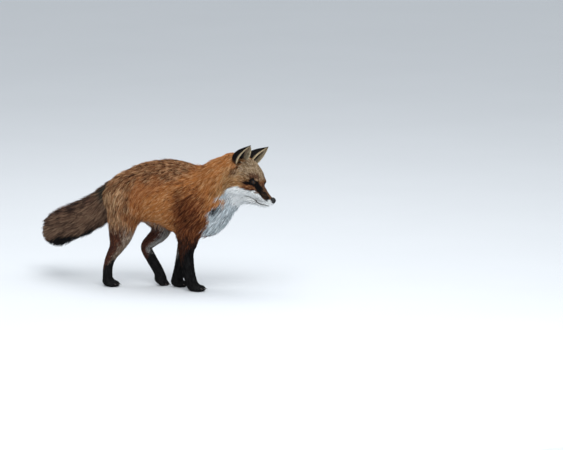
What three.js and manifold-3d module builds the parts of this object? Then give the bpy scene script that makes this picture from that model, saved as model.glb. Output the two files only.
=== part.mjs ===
// A red fox (Vulpes vulpes) in its winter coat, walking, as a still life-size model, in millimetres.
// +X is forward, +Y is the fox's left and +Z is up. The four paws stand on the floor at z = 0.
//
// The coat's outer surface is one signed distance field: limbs of oval sections, blended where they
// meet. Each named part is that surface inside the part's own region, so parts meet at thin cuts.
import * as THREE from "three";
import { mergeVertices } from "three/addons/utils/BufferGeometryUtils.js";
import Module from "manifold-3d";

const wasm = await Module();
wasm.setup();

// Driving dimensions -----------------------------------------------------------------------------

const LEFT = 1;
const RIGHT = -1;
const GAP = 0.35; // the width of the cut between two parts
const FLOOR = 0;
const FAR = 1e4;
// What the fox is moved by, so that the middle of its length and width lies over the origin.
const TO_MIDDLE = [151, -51.5, 0];

// A limb is a run of oval sections, each [x, y, z, half width across, half depth].
const TRUNK = [
  [-272, 0, 292, 46, 44],
  [-246, 0, 299, 68, 70],
  [-203, 0, 303, 80, 88],
  [-150, 0, 309, 84, 101],
  [-90, 0, 308, 87, 111],
  [-40, 0, 292, 87, 117],
  [5, 0, 277, 82, 116],
  [36, 0, 262, 68, 95],
];
const NECK = [
  [25, 0, 284, 76, 86],
  [74, 0, 330, 77, 90],
  [105, 1, 363, 71, 83],
  [128, 3, 384, 58, 68],
];
const TAIL = [
  [-262, 0, 320, 34, 32],
  [-300, 3, 284, 40, 46],
  [-345, 12, 240, 49, 55],
  [-410, 36, 205, 53, 58],
  [-466, 64, 182, 53, 57],
  [-512, 98, 157, 50, 56],
  [-544, 138, 138, 42, 50],
  [-560, 172, 128, 26, 31],
  [-566, 196, 124, 7, 8],
];
const FORELEG_RIGHT = [
  [22, -50, 262, 34, 48],
  [-8, -50, 205, 33, 43],
  [-14, -46, 163, 28, 36],
  [-20, -41, 128, 22, 26],
  [-19, -37, 95, 19.5, 23],
  [-14, -35, 57, 18.5, 21.5],
  [-4, -33, 22, 18, 19],
];
const FORELEG_LEFT = [
  [4, 50, 262, 34, 48],
  [-28, 50, 205, 33, 43],
  [-45, 46, 163, 28, 35],
  [-57, 42, 128, 22, 26],
  [-63, 38, 98, 19.5, 22.5],
  [-70, 35, 62, 18.5, 20.5],
  [-80, 32, 24, 18, 18.5],
];
const HINDLEG_RIGHT = [
  [-236, -44, 300, 44, 58],
  [-232, -48, 245, 38, 58],
  [-238, -47, 200, 31, 50],
  [-247, -44, 161, 25, 39],
  [-259, -41, 130, 20, 26],
  [-276, -38, 103, 16.5, 18.5],
  [-286, -37, 82, 16, 16.5],
  [-292, -36, 55, 15.5, 16],
  [-293, -36, 22, 17, 16.5],
];
const HINDLEG_LEFT = [
  [-205, 46, 300, 44, 58],
  [-166, 48, 245, 40, 56],
  [-138, 47, 195, 30, 40],
  [-150, 45, 163, 22, 29],
  [-172, 43, 143, 18.5, 23],
  [-189, 41, 120, 16.5, 19],
  [-172, 40, 86, 15.5, 18],
  [-151, 39, 54, 16, 17.5],
  [-137, 38, 26, 17, 17],
];

// A paw stands at its middle [x, y], its toes turned by a heading and tipped down by a pitch.
const PAWS = {
  fore_right: { at: [6, -32], heading: 0, pitch: 0, reach: 1 },
  fore_left: { at: [-78, 31], heading: 4, pitch: 6, reach: 0.95 },
  hind_right: { at: [-286, -36], heading: -3, pitch: 4, reach: 0.97 },
  hind_left: { at: [-139, 38], heading: 4, pitch: 26, reach: 0.85 },
};
const PAD_RADII = [21, 18, 15];
const TOE_RADII = [14, 8, 10.5];
// For each toe: how far forward of the paw's middle it lies, and how far to the side.
const TOES = [
  [12, -14.5],
  [20, -5.5],
  [20, 5.5],
  [12, 14.5],
];
const CLAW = { length: 9, radius: 2, sides: 6, height: -1.5, droop: 0.3 };

// The head has a frame of its own: its origin at the tip of the nose, x along the line of the mouth.
const HEAD = { nose: [283, -45, 308.5], yaw: -20, pitch: 23.5, roll: -10 };
const CRANIUM = { at: [-124, 0, 16], radii: [46, 44, 47] };
const CROWN = { at: [-144, 0, 36], radii: [29, 35, 34] };
const FOREHEAD = { at: [-103, 0, 13], radii: [31, 30, 36] };
const MUZZLE = [
  [-11, 0, -9, 10.5, 11.5],
  [-31, 0, -11.5, 15, 18],
  [-47, 0, -10.5, 18.5, 21.5],
  [-64, 0, -8, 24, 25.5],
  [-84, 0, -7, 29, 29],
];
const JAW = [
  [-21, 0, -28, 8, 6.5],
  [-36, 0, -33.5, 12, 9],
  [-60, 0, -38, 17, 11],
  [-90, 0, -41, 27, 20],
  [-122, 0, -46, 37, 30],
];
const CHEEK = { at: [-112, 34, -9], radii: [35, 25, 30] };
const RUFF = { at: [-130, 46, -20], radii: [27, 23, 26] };
const BROW = { at: [-90, 22, 26], radii: [14, 9, 8] };
const EYE = { at: [-87, 26.5, 18], radius: 9.5 };
const SOCKET = { at: [-84, 38, 17], radii: [13, 9, 9] };
const NOSE = { at: [-6, 0, -4], radii: [8, 9.5, 9.5] };
const MOUTH = { front: [-8, -25.5], back: [-72, -33] };
// An ear's back is as deep behind its rim as its arc, times deep, and leans towards the fox's left.
const EAR_RIGHT = {
  base: [-156, -32, 38],
  tip: [-137, -56, 124],
  facing: [0.97, -0.25, 0],
  deep: 1.05,
  lean: -0.42,
};
const EAR_LEFT = {
  base: [-156, 31, 38],
  tip: [-143, 52, 121],
  facing: [1, 0.08, 0],
  deep: 1.25,
  lean: -0.18,
};
const EAR_SHELL = { width: 21.5, wall: 5, rows: 8, columns: 10, sunk: 0.25 };

// Where the parts are cut from one another: a point on each cut, and the way it faces.
const CUTS = {
  head: { at: [125, 0, 370], facing: [0.965, -0.15, 0.22] },
  neck: { at: [47, 0, 290], facing: [0.974, 0, 0.227] },
  tail: { at: [-302, 0, 250], facing: [-1, 0, 0] },
  foreleg_right: { at: [-20, -50, 190], facing: [0, -0.45, -0.89] },
  foreleg_left: { at: [-35, 50, 190], facing: [0, 0.45, -0.89] },
  hindleg_right: { at: [-225, -55, 223], facing: [-0.3, -0.45, -0.84] },
  hindleg_left: { at: [-160, 55, 215], facing: [0.15, 0.45, -0.87] },
};
const BETWEEN_LEGS = { at: [-95.5, 0, 100], facing: [1, 0, -0.106] };
const TAIL_CLEARS = { x: -335, z: 120 }; // the tail's part lies behind this x below this z
const WRIST = 34;
const REACH = 900; // more than the fox's length
const LEGS = [
  {
    name: "foreleg_right",
    paw: "fore_right",
    side: RIGHT,
    fore: true,
    sections: FORELEG_RIGHT,
    bend: 150,
    blend: 34,
    bounds: [
      [-100, -110, -3],
      [140, 10, 215],
    ],
  },
  {
    name: "foreleg_left",
    paw: "fore_left",
    side: LEFT,
    fore: true,
    sections: FORELEG_LEFT,
    bend: 150,
    blend: 34,
    bounds: [
      [-120, -10, -3],
      [140, 110, 215],
    ],
  },
  {
    name: "hindleg_right",
    paw: "hind_right",
    side: RIGHT,
    fore: false,
    sections: HINDLEG_RIGHT,
    bend: 150,
    blend: 40,
    bounds: [
      [-332, -107, -4],
      [-84, 10, 285],
    ],
  },
  {
    name: "hindleg_left",
    paw: "hind_left",
    side: LEFT,
    fore: false,
    sections: HINDLEG_LEFT,
    bend: 150,
    blend: 40,
    bounds: [
      [-320, -10, -3],
      [-80, 110, 285],
    ],
  },
];
// The size of the net's cells on each part.
const CELL = { trunk: 24, neck: 23, tail: 21, leg: 13.5, paw: 8.5, head: 11.5 };

const COLOUR = {
  back: 0x9a6a42,
  flank: 0xb9753a,
  neck: 0xbd7036,
  face: 0xb0713f,
  white: 0xd9dde0,
  thigh: 0xa5805a,
  tail: 0x83644a,
  stocking: 0x2b2220,
  paw: 0x1d1a1b,
  ear: 0x241d1d,
  eye: 0x1b100b,
  nose: 0x16151a,
};

// Signed distances -------------------------------------------------------------------------------

const STEPS = 4; // how many straight steps a limb takes between two of its sections
const vector = (a) => new THREE.Vector3(...a);
const radians = THREE.MathUtils.degToRad;

/** Two distances as one, blended over a width k. */
function blend(a, b, k) {
  const near = Math.max(k - Math.abs(a - b), 0) / k;
  return Math.min(a, b) - (near * near * k) / 4;
}

/** Distance a with the shape at distance b taken out of it, with an edge rounded over k. */
const carve = (a, b, k) => -blend(-a, b, k);

function ellipsoid(at, radii) {
  return (p) => {
    const [x, y, z] = [p.x - at[0], p.y - at[1], p.z - at[2]];
    const one = Math.hypot(x / radii[0], y / radii[1], z / radii[2]);
    const two = Math.hypot(x / radii[0] ** 2, y / radii[1] ** 2, z / radii[2] ** 2);
    return two > 0 ? (one * (one - 1)) / two : -Math.min(...radii);
  };
}

/** A smooth run of oval sections, as pieces with their directions. */
function limb(sections) {
  const curve = (points) => new THREE.CatmullRomCurve3(points, false, "catmullrom", 0.5);
  const middles = curve(sections.map(([x, y, z]) => new THREE.Vector3(x, y, z)));
  const sizes = curve(sections.map(([, , , w, d]) => new THREE.Vector3(w, d, 0)));
  const count = (sections.length - 1) * STEPS;
  const pieces = [];
  for (let i = 0; i < count; i++) {
    const start = middles.getPoint(i / count);
    const along = middles.getPoint((i + 1) / count).sub(start);
    const length = along.length();
    along.divideScalar(length);
    const across = new THREE.Vector3(0, 1, 0).addScaledVector(along, -along.y).normalize();
    const up = new THREE.Vector3().crossVectors(along, across);
    const size = [sizes.getPoint(i / count), sizes.getPoint((i + 1) / count)];
    pieces.push({ start, along, across, up, length, size });
  }
  const q = new THREE.Vector3();
  const best = new THREE.Vector3();
  return (p) => {
    let nearest = Infinity;
    let piece;
    let share = 0;
    for (const s of pieces) {
      q.subVectors(p, s.start);
      const t = THREE.MathUtils.clamp(q.dot(s.along) / s.length, 0, 1);
      q.addScaledVector(s.along, -t * s.length);
      if (q.lengthSq() < nearest) {
        nearest = q.lengthSq();
        piece = s;
        share = t;
        best.copy(q);
      }
    }
    const width = THREE.MathUtils.lerp(piece.size[0].x, piece.size[1].x, share);
    const depth = THREE.MathUtils.lerp(piece.size[0].y, piece.size[1].y, share);
    const reach = Math.hypot(
      best.dot(piece.across) / width,
      best.dot(piece.up) / depth,
      (2 * best.dot(piece.along)) / (width + depth),
    );
    return reach > 1e-3 ? Math.sqrt(nearest) * (1 - 1 / reach) : -Math.min(width, depth);
  };
}

// The fox's field --------------------------------------------------------------------------------

/** The matrix that carries the head's frame to the fox's. */
function headFrame() {
  const turn = new THREE.Euler(radians(HEAD.roll), radians(HEAD.pitch), radians(HEAD.yaw), "ZYX");
  return new THREE.Matrix4().makeRotationFromEuler(turn).setPosition(...HEAD.nose);
}
const TO_FOX = headFrame();
const TO_HEAD = TO_FOX.clone().invert();

/** The same shape on one side of the head, from its left one. */
const sided = (shape, side) => ({ ...shape, at: [shape.at[0], side * shape.at[1], shape.at[2]] });
const placed = (shape) => ellipsoid(shape.at, shape.radii);

/** The head without its ears, in its own frame. */
function headField() {
  const muzzle = limb(MUZZLE);
  const jaw = limb(JAW);
  const cranium = placed(CRANIUM);
  const crown = placed(CROWN);
  const forehead = placed(FOREHEAD);
  const pairs = [LEFT, RIGHT].map((side) => ({
    cheek: placed(sided(CHEEK, side)),
    ruff: placed(sided(RUFF, side)),
    brow: placed(sided(BROW, side)),
    socket: placed(sided(SOCKET, side)),
  }));
  return (p) => {
    let d = blend(blend(cranium(p), crown(p), 14), forehead(p), 12);
    d = blend(d, muzzle(p), 14);
    d = blend(d, jaw(p), 7);
    for (const pair of pairs) {
      d = blend(d, pair.cheek(p), 16);
      d = blend(d, pair.ruff(p), 14);
      d = blend(d, pair.brow(p), 8);
      d = carve(d, pair.socket(p), 6);
    }
    return d;
  };
}

/** The paw's pad and toes, in the fox's frame. */
function pawField({ at, heading, pitch, reach }) {
  const turn = new THREE.Euler(0, radians(pitch), radians(heading), "ZYX");
  const lift = PAD_RADII[2] - 3 + 12 * Math.sin(radians(pitch));
  const frame = new THREE.Matrix4().makeRotationFromEuler(turn).setPosition(at[0], at[1], lift);
  const inwards = frame.clone().invert();
  const pad = ellipsoid([0, 0, 0], PAD_RADII);
  const toes = TOES.map(([x, y]) => ellipsoid([x * reach, y, -2.5], TOE_RADII));
  const q = new THREE.Vector3();
  const field = (p) => {
    q.copy(p).applyMatrix4(inwards);
    return toes.reduce((d, toe) => blend(d, toe(q), 4), pad(q));
  };
  return { field, frame, reach };
}

const paws = Object.fromEntries(Object.entries(PAWS).map(([name, paw]) => [name, pawField(paw)]));
const trunk = limb(TRUNK);
const neck = limb(NECK);
const tail = limb(TAIL);
const head = headField();
const limbs = LEGS.map((leg) => ({ ...leg, field: limb(leg.sections), foot: paws[leg.paw].field }));

/** The distance to the coat's outer surface, without ears. */
function fox(p) {
  const body = blend(blend(trunk(p), neck(p), 26), tail(p), 22);
  const withHead = blend(body, head(p.clone().applyMatrix4(TO_HEAD)), 24);
  return limbs.reduce((d, leg) => {
    const limbAndPaw = blend(leg.field(p), leg.foot(p), 9);
    return Math.min(d, blend(withHead, limbAndPaw, leg.blend));
  }, FAR);
}

// From fields to solids --------------------------------------------------------------------------

const CORNERS = [0, 1, 2, 3, 4, 5, 6, 7].map((i) => [i & 1, (i >> 1) & 1, (i >> 2) & 1]);
const EDGES = CORNERS.flatMap((_, i) => [1, 2, 4].filter((b) => !(i & b)).map((b) => [i, i | b]));

/** Moves a point that lies near a field's surface onto it. */
function settle(p, field, cell) {
  const d = field(p);
  if (Math.abs(d) > 0.5 * cell) return;
  const slope = new THREE.Vector3();
  for (const axis of ["x", "y", "z"]) {
    const q = p.clone();
    q[axis] += 0.5;
    slope[axis] = (field(q) - d) / 0.5;
  }
  if (slope.lengthSq() > 0.3) p.addScaledVector(slope, -d / slope.lengthSq());
}

/** Fills the corners where the inside would meet itself along no more than an edge. */
function fillPinches(values, size, index) {
  const faces = [
    [1, 1, 0],
    [1, 0, 1],
    [0, 1, 1],
  ];
  let filled = true;
  while (filled) {
    filled = false;
    for (const [a, b, c] of faces)
      for (let k = 0; k + c < size[2]; k++)
        for (let j = 0; j + b < size[1]; j++)
          for (let i = 0; i + a < size[0]; i++) {
            const near = index(i, j, k);
            const far = index(i + a, j + b, k + c);
            const one = a ? index(i + 1, j, k) : index(i, j + 1, k);
            const other = near + far - one;
            const [p, q] = values[near] < 0 ? [one, other] : [near, far];
            const [r, s] = values[near] < 0 ? [near, far] : [one, other];
            if (values[r] >= 0 || values[s] >= 0 || values[p] < 0 || values[q] < 0) continue;
            values[values[p] < values[q] ? p : q] = -0.01;
            filled = true;
          }
  }
}

/** The surface where a field is zero inside a box, as a net with one vertex in each crossed cell. */
function net(field, low, high, cell) {
  const size = low.map((v, i) => Math.ceil((high[i] - v) / cell) + 3);
  const start = low.map((v) => v - cell);
  const index = (i, j, k) => (k * size[1] + j) * size[0] + i;
  const values = new Float64Array(size[0] * size[1] * size[2]);
  const p = new THREE.Vector3();
  const place = (i, j, k) => p.set(start[0] + i * cell, start[1] + j * cell, start[2] + k * cell);
  const rim = (v, i) => Math.max(low[i] - v, v - high[i]);
  for (let k = 0; k < size[2]; k++)
    for (let j = 0; j < size[1]; j++)
      for (let i = 0; i < size[0]; i++) {
        place(i, j, k);
        const outside = Math.max(rim(p.x, 0), rim(p.y, 1), rim(p.z, 2));
        values[index(i, j, k)] = Math.max(outside, field(p)) || 1e-6;
      }
  fillPinches(values, size, index);
  const positions = [];
  const vertexOf = new Map();
  for (let k = 0; k + 1 < size[2]; k++)
    for (let j = 0; j + 1 < size[1]; j++)
      for (let i = 0; i + 1 < size[0]; i++) {
        const sum = [0, 0, 0];
        let crossings = 0;
        for (const [a, b] of EDGES) {
          const [ca, cb] = [CORNERS[a], CORNERS[b]];
          const va = values[index(i + ca[0], j + ca[1], k + ca[2])];
          const vb = values[index(i + cb[0], j + cb[1], k + cb[2])];
          if (va < 0 === vb < 0) continue;
          const t = va / (va - vb);
          for (let n = 0; n < 3; n++) sum[n] += ca[n] + t * (cb[n] - ca[n]);
          crossings++;
        }
        if (!crossings) continue;
        vertexOf.set(index(i, j, k), positions.length / 3);
        p.fromArray([i, j, k].map((v, n) => start[n] + (v + sum[n] / crossings) * cell));
        settle(p, field, cell);
        positions.push(p.x, p.y, p.z);
      }
  const triangles = [];
  const quad = (a, b, c, d, turned) =>
    triangles.push(...(turned ? [a, b, c, a, c, d] : [a, c, b, a, d, c]));
  for (let k = 1; k + 1 < size[2]; k++)
    for (let j = 1; j + 1 < size[1]; j++)
      for (let i = 1; i + 1 < size[0]; i++) {
        const inside = values[index(i, j, k)] < 0;
        const cellAt = (di, dj, dk) => vertexOf.get(index(i - di, j - dj, k - dk));
        if (inside !== values[index(i + 1, j, k)] < 0)
          quad(cellAt(0, 1, 1), cellAt(0, 0, 1), cellAt(0, 0, 0), cellAt(0, 1, 0), inside);
        if (inside !== values[index(i, j + 1, k)] < 0)
          quad(cellAt(1, 0, 1), cellAt(1, 0, 0), cellAt(0, 0, 0), cellAt(0, 0, 1), inside);
        if (inside !== values[index(i, j, k + 1)] < 0)
          quad(cellAt(1, 1, 0), cellAt(0, 1, 0), cellAt(0, 0, 0), cellAt(1, 0, 0), inside);
      }
  return solid(new Float32Array(positions), new Uint32Array(triangles));
}

function solid(vertProperties, triVerts) {
  return new wasm.Manifold(new wasm.Mesh({ numProp: 3, vertProperties, triVerts }));
}

/** A three.js geometry as a solid. */
function solidOf(geometry) {
  const bare = geometry.clone();
  bare.deleteAttribute("normal");
  bare.deleteAttribute("uv");
  const merged = mergeVertices(bare, 1e-3);
  return solid(merged.attributes.position.array, new Uint32Array(merged.index.array));
}

/** A box from its lowest to its highest corner, carried by a matrix where one is given. */
function block(low, high, matrix = new THREE.Matrix4()) {
  const size = high.map((v, i) => v - low[i]);
  const geometry = new THREE.BoxGeometry(...size);
  geometry.translate(...high.map((v, i) => (v + low[i]) / 2));
  return solidOf(geometry.applyMatrix4(matrix));
}

/** The half of space beyond a cut, drawn back from it by an offset. */
function beyond({ at, facing }, offset) {
  const way = vector(facing).normalize();
  const turn = new THREE.Quaternion().setFromUnitVectors(new THREE.Vector3(0, 0, 1), way);
  const start = vector(at).addScaledVector(way, offset);
  const frame = new THREE.Matrix4().makeRotationFromQuaternion(turn).setPosition(start);
  return block([-REACH, -REACH, 0], [REACH, REACH, REACH], frame);
}

/** The half of space on this side of a cut, drawn back from it by an offset. */
const before = ({ at, facing }, offset) =>
  beyond({ at, facing: facing.map((v) => -v) }, offset);

/** What lies between two heights. */
const layer = (low, high) => block([-REACH, -REACH, low], [REACH, REACH, high]);

// The regions of the parts -----------------------------------------------------------------------
// Each is drawn back from its cuts by an offset, or with an offset below zero, is grown over them.

/** The space of the tail, clear of the hind legs below it. */
function tailRegion(offset) {
  const legs = block(
    [TAIL_CLEARS.x - offset, -REACH, -REACH],
    [REACH, REACH, TAIL_CLEARS.z + offset],
  );
  return beyond(CUTS.tail, offset).subtract(legs);
}

/** The space of one leg. */
function legRegion({ name, side, fore }, offset) {
  const length = fore ? beyond(BETWEEN_LEGS, offset) : before(BETWEEN_LEGS, offset);
  const width = side === LEFT ? [offset, REACH] : [-REACH, -offset];
  return beyond(CUTS[name], offset)
    .intersect(block([-REACH, width[0], -REACH], [REACH, width[1], REACH]))
    .intersect(length)
    .intersect(before(CUTS.neck, offset))
    .subtract(tailRegion(-offset));
}

/** The space of the lower jaw: below the line of the mouth, and in front of its corner. */
function jawRegion(offset) {
  const { front, back } = MOUTH;
  const turn = Math.atan2(front[1] - back[1], front[0] - back[0]);
  const frame = new THREE.Matrix4().makeRotationY(-turn).setPosition(back[0], 0, back[1]);
  return block([offset, -REACH, -REACH], [REACH, REACH, -offset], TO_FOX.clone().multiply(frame));
}

// The fox's parts --------------------------------------------------------------------------------

/** The trunk, without its limbs. */
function makeTrunk() {
  const whole = net(fox, [-345, -126, 124], [150, 130, 460], CELL.trunk);
  const limbs = LEGS.map((leg) => legRegion(leg, -GAP / 2));
  return limbs.reduce(
    (trunk, region) => trunk.subtract(region),
    whole.intersect(before(CUTS.neck, GAP / 2)).subtract(tailRegion(-GAP / 2)),
  );
}

function makeNeck() {
  const whole = net(fox, [0, -130, 140], [230, 130, 500], CELL.neck);
  return whole.intersect(beyond(CUTS.neck, GAP / 2)).intersect(before(CUTS.head, GAP / 2));
}

function makeTail() {
  return net(fox, [-612, -85, 55], [-270, 240, 370], CELL.tail).intersect(tailRegion(GAP / 2));
}

/** A leg's upper part, its lower part and its paw. */
function makeLeg(leg) {
  const region = legRegion(leg, GAP / 2);
  const [low, high] = leg.bounds;
  const whole = net(fox, low, high, CELL.leg).intersect(region);
  const foot = net(fox, low, [high[0], high[1], WRIST + 2 * CELL.paw], CELL.paw);
  const { frame, reach } = paws[leg.paw];
  const clawed = TOES.reduce((paw, toe) => paw.add(claw(toe, reach, frame)), foot);
  return {
    upper: whole.intersect(layer(leg.bend + GAP / 2, REACH)),
    lower: whole.intersect(layer(WRIST + GAP / 2, leg.bend - GAP / 2)),
    paw: clawed.intersect(region).intersect(layer(FLOOR, WRIST - GAP / 2)),
  };
}

/** The claw at the front of one toe. */
function claw([x, y], reach, frame) {
  const cone = new THREE.ConeGeometry(CLAW.radius, CLAW.length, CLAW.sides);
  cone.rotateZ(-Math.PI / 2);
  cone.rotateY(CLAW.droop);
  cone.translate(x * reach + TOE_RADII[0] + 0.2 * CLAW.length, y, CLAW.height);
  return solidOf(cone.applyMatrix4(frame));
}

/** One ear: a shell cupped towards where it faces, widest near its foot. */
function earShell({ base, tip, facing, deep, lean }) {
  const { width, wall, rows, columns, sunk } = EAR_SHELL;
  const root = vector(base);
  const up = vector(tip).sub(root);
  const length = up.length();
  up.normalize();
  const front = vector(facing).addScaledVector(up, -vector(facing).dot(up)).normalize();
  const across = new THREE.Vector3().crossVectors(up, front);
  const positions = [];
  for (const inner of [0, 1])
    for (let i = 0; i <= rows; i++) {
      const share = THREE.MathUtils.lerp(-sunk, 1, i / rows);
      const half = width * Math.sin(Math.PI * (0.2 + 0.8 * Math.max(share, 0))) ** 0.8 + 1.2;
      const open = THREE.MathUtils.lerp(2.1, 1.4, Math.max(share, 0));
      const outer = half / Math.sin(Math.min(open, Math.PI / 2));
      const radius = outer - inner * wall * (1 - 0.5 * Math.max(share, 0));
      for (let j = 0; j <= columns; j++) {
        const bend = open * ((2 * j) / columns - 1);
        const behind = deep * (Math.max(radius, 0.4) * Math.cos(bend) - outer * Math.cos(open));
        const at = root.clone().addScaledVector(up, share * length);
        at.addScaledVector(across, Math.max(radius, 0.4) * Math.sin(bend) + lean * behind);
        at.addScaledVector(front, -behind);
        positions.push(...at.applyMatrix4(TO_FOX).toArray());
      }
    }
  const stride = columns + 1;
  const at = (i, j, inner) => (inner * (rows + 1) + i) * stride + j;
  const triangles = [];
  const quad = (a, b, c, d) => triangles.push(a, c, b, a, d, c);
  for (let i = 0; i < rows; i++) {
    for (let j = 0; j < columns; j++) {
      quad(at(i, j, 0), at(i, j + 1, 0), at(i + 1, j + 1, 0), at(i + 1, j, 0));
      quad(at(i, j, 1), at(i + 1, j, 1), at(i + 1, j + 1, 1), at(i, j + 1, 1));
    }
    quad(at(i, 0, 0), at(i + 1, 0, 0), at(i + 1, 0, 1), at(i, 0, 1));
    quad(at(i, columns, 1), at(i + 1, columns, 1), at(i + 1, columns, 0), at(i, columns, 0));
  }
  for (let j = 0; j < columns; j++) {
    quad(at(0, j + 1, 0), at(0, j, 0), at(0, j, 1), at(0, j + 1, 1));
    quad(at(rows, j, 0), at(rows, j + 1, 0), at(rows, j + 1, 1), at(rows, j, 1));
  }
  return solid(new Float32Array(positions), new Uint32Array(triangles));
}

/** A ball of three radii in the head's frame, grown all round by an offset. */
function headBall(at, radii, offset) {
  const ball = new THREE.SphereGeometry(1, 14, 9);
  ball.scale(...radii.map((r) => r + offset)).translate(...at);
  return solidOf(ball.applyMatrix4(TO_FOX));
}

/** The head with its jaw, eyes, nose and ears, each as a part of its own. */
function makeHead() {
  const [low, high] = [
    [70, -140, 230],
    [300, 90, 500],
  ];
  const whole = net(fox, low, high, CELL.head).intersect(beyond(CUTS.head, GAP / 2));
  const nearby = net((p) => fox(p) - GAP, low, high, CELL.head);
  const eyes = [LEFT, RIGHT].map((side) => sided(EYE, side));
  const round = [EYE.radius, EYE.radius, EYE.radius];
  let skull = whole.subtract(jawRegion(-GAP / 2)).subtract(headBall(NOSE.at, NOSE.radii, GAP));
  for (const eye of eyes) skull = skull.subtract(headBall(eye.at, round, GAP));
  return {
    head: skull,
    lower_jaw: whole.intersect(jawRegion(GAP / 2)),
    nose: headBall(NOSE.at, NOSE.radii, 0),
    eye_left: headBall(eyes[0].at, round, 0),
    eye_right: headBall(eyes[1].at, round, 0),
    ear_left: earShell(EAR_LEFT).subtract(nearby),
    ear_right: earShell(EAR_RIGHT).subtract(nearby),
  };
}

/** One part as a mesh, with the material of its own colour. */
function mesh(name, body, colour, roughness = 0.85) {
  const { vertProperties, triVerts } = body.translate(...TO_MIDDLE).getMesh();
  const geometry = new THREE.BufferGeometry();
  geometry.setAttribute("position", new THREE.BufferAttribute(vertProperties, 3));
  geometry.setIndex(new THREE.BufferAttribute(triVerts, 1));
  const material = new THREE.MeshStandardMaterial({ color: colour, roughness, metalness: 0 });
  const part = new THREE.Mesh(geometry, material);
  part.name = name;
  return part;
}

const model = new THREE.Group();
model.name = "red_fox";
model.add(mesh("trunk", makeTrunk(), COLOUR.flank));
model.add(mesh("neck", makeNeck(), COLOUR.neck));
model.add(mesh("tail", makeTail(), COLOUR.tail));

const headParts = makeHead();
model.add(mesh("head", headParts.head, COLOUR.face));
model.add(mesh("lower_jaw", headParts.lower_jaw, COLOUR.white));
model.add(mesh("nose", headParts.nose, COLOUR.nose, 0.35));
model.add(mesh("eye_left", headParts.eye_left, COLOUR.eye, 0.1));
model.add(mesh("eye_right", headParts.eye_right, COLOUR.eye, 0.1));
model.add(mesh("ear_left", headParts.ear_left, COLOUR.ear));
model.add(mesh("ear_right", headParts.ear_right, COLOUR.ear));

for (const leg of LEGS) {
  const { upper, lower, paw } = makeLeg(leg);
  const [limbName, sideName] = leg.name.split("_");
  model.add(mesh(`${limbName}_upper_${sideName}`, upper, leg.fore ? COLOUR.neck : COLOUR.thigh));
  model.add(mesh(`${limbName}_lower_${sideName}`, lower, COLOUR.stocking));
  model.add(mesh(`paw_${leg.paw}`, paw, COLOUR.paw));
}

export default model;
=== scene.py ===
"""A red fox in its winter coat, walking: its looks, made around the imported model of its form.

The fox's form is one field of distances, as in its solids. The skin lies inside the form by the
depth of the coat, and locks of fur lie over the skin, each led along the lie of the coat until
its tip reaches the form. Lengths in this file are millimetres in the fox's own frame, whose +X
is forward and +Z up, and become metres in the model's frame only where a mesh is made.
"""

from __future__ import annotations

import logging
import math
from collections.abc import Callable
from dataclasses import dataclass, field, fields, replace
from enum import Enum, IntEnum

import bpy
import numpy as np
from mathutils import Matrix, Vector
from mathutils.kdtree import KDTree


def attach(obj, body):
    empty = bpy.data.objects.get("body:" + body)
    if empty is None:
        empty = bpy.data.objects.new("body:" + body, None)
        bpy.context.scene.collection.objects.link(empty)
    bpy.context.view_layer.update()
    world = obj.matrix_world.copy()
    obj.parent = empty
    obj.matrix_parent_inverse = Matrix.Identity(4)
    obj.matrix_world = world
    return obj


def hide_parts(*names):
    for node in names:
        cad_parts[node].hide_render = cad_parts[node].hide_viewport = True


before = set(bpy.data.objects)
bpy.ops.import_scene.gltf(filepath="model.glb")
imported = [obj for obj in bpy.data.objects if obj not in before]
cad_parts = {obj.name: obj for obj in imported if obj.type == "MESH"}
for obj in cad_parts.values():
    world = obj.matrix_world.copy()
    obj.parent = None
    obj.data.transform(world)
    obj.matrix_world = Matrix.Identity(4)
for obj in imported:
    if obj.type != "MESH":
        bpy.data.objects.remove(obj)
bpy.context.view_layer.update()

Array = np.ndarray
log = logging.getLogger("red_fox")

MM = 0.001
TO_MIDDLE = np.array([151.0, -51.5, 0.0])  # from the fox's own frame to the middle of the model
FAR = 90.0  # the distance that stands for all greater ones
STEPS = 4  # straight pieces between two sections of a limb


# The form -----------------------------------------------------------------------------------------


class Side(IntEnum):
    """A side of the fox, as the sign of Y."""

    LEFT = 1
    RIGHT = -1


class Part(IntEnum):
    """What a place on the fox belongs to."""

    TRUNK = 0
    NECK = 1
    TAIL = 2
    HEAD = 3
    FORELEG = 4
    HINDLEG = 5
    PAW = 6


def dot(a: Array, b: Array) -> Array:
    """The dot products of the rows of two arrays, or of rows and one vector."""
    return np.einsum("...i,...i->...", a, b)


def unit(a: Array) -> Array:
    """The rows of an array at length 1."""
    return a / np.maximum(np.linalg.norm(a, axis=-1, keepdims=True), 1e-9)


def ramp(low: float, high: float, x: Array) -> Array:
    """A smooth rise from 0 at low to 1 at high, where low may be the greater."""
    t = np.clip((x - low) / (high - low), 0.0, 1.0)
    return t * t * (3.0 - 2.0 * t)


def mix(a: Array, b: Array, share: Array) -> Array:
    """Rows of a carried towards rows of b by a share for each row."""
    share = share.reshape(share.shape + (1,) * (np.ndim(a) - share.ndim))
    return a + (b - a) * share


def to_metres(points: Array) -> Array:
    """Points of the fox's own frame in the model's frame."""
    return (points + TO_MIDDLE) * MM


def turned(yaw: float, pitch: float, roll: float) -> Array:
    """A turn about three axes.

    Args:
        yaw: The last turn, about Z, in degrees.
        pitch: The turn before it, about Y.
        roll: The first turn, about X.

    Returns:
        The turn as a matrix.
    """
    whole = Matrix.Identity(3)
    for angle, axis in ((yaw, "Z"), (pitch, "Y"), (roll, "X")):
        whole = whole @ Matrix.Rotation(math.radians(angle), 3, axis)
    return np.array(whole)


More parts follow.
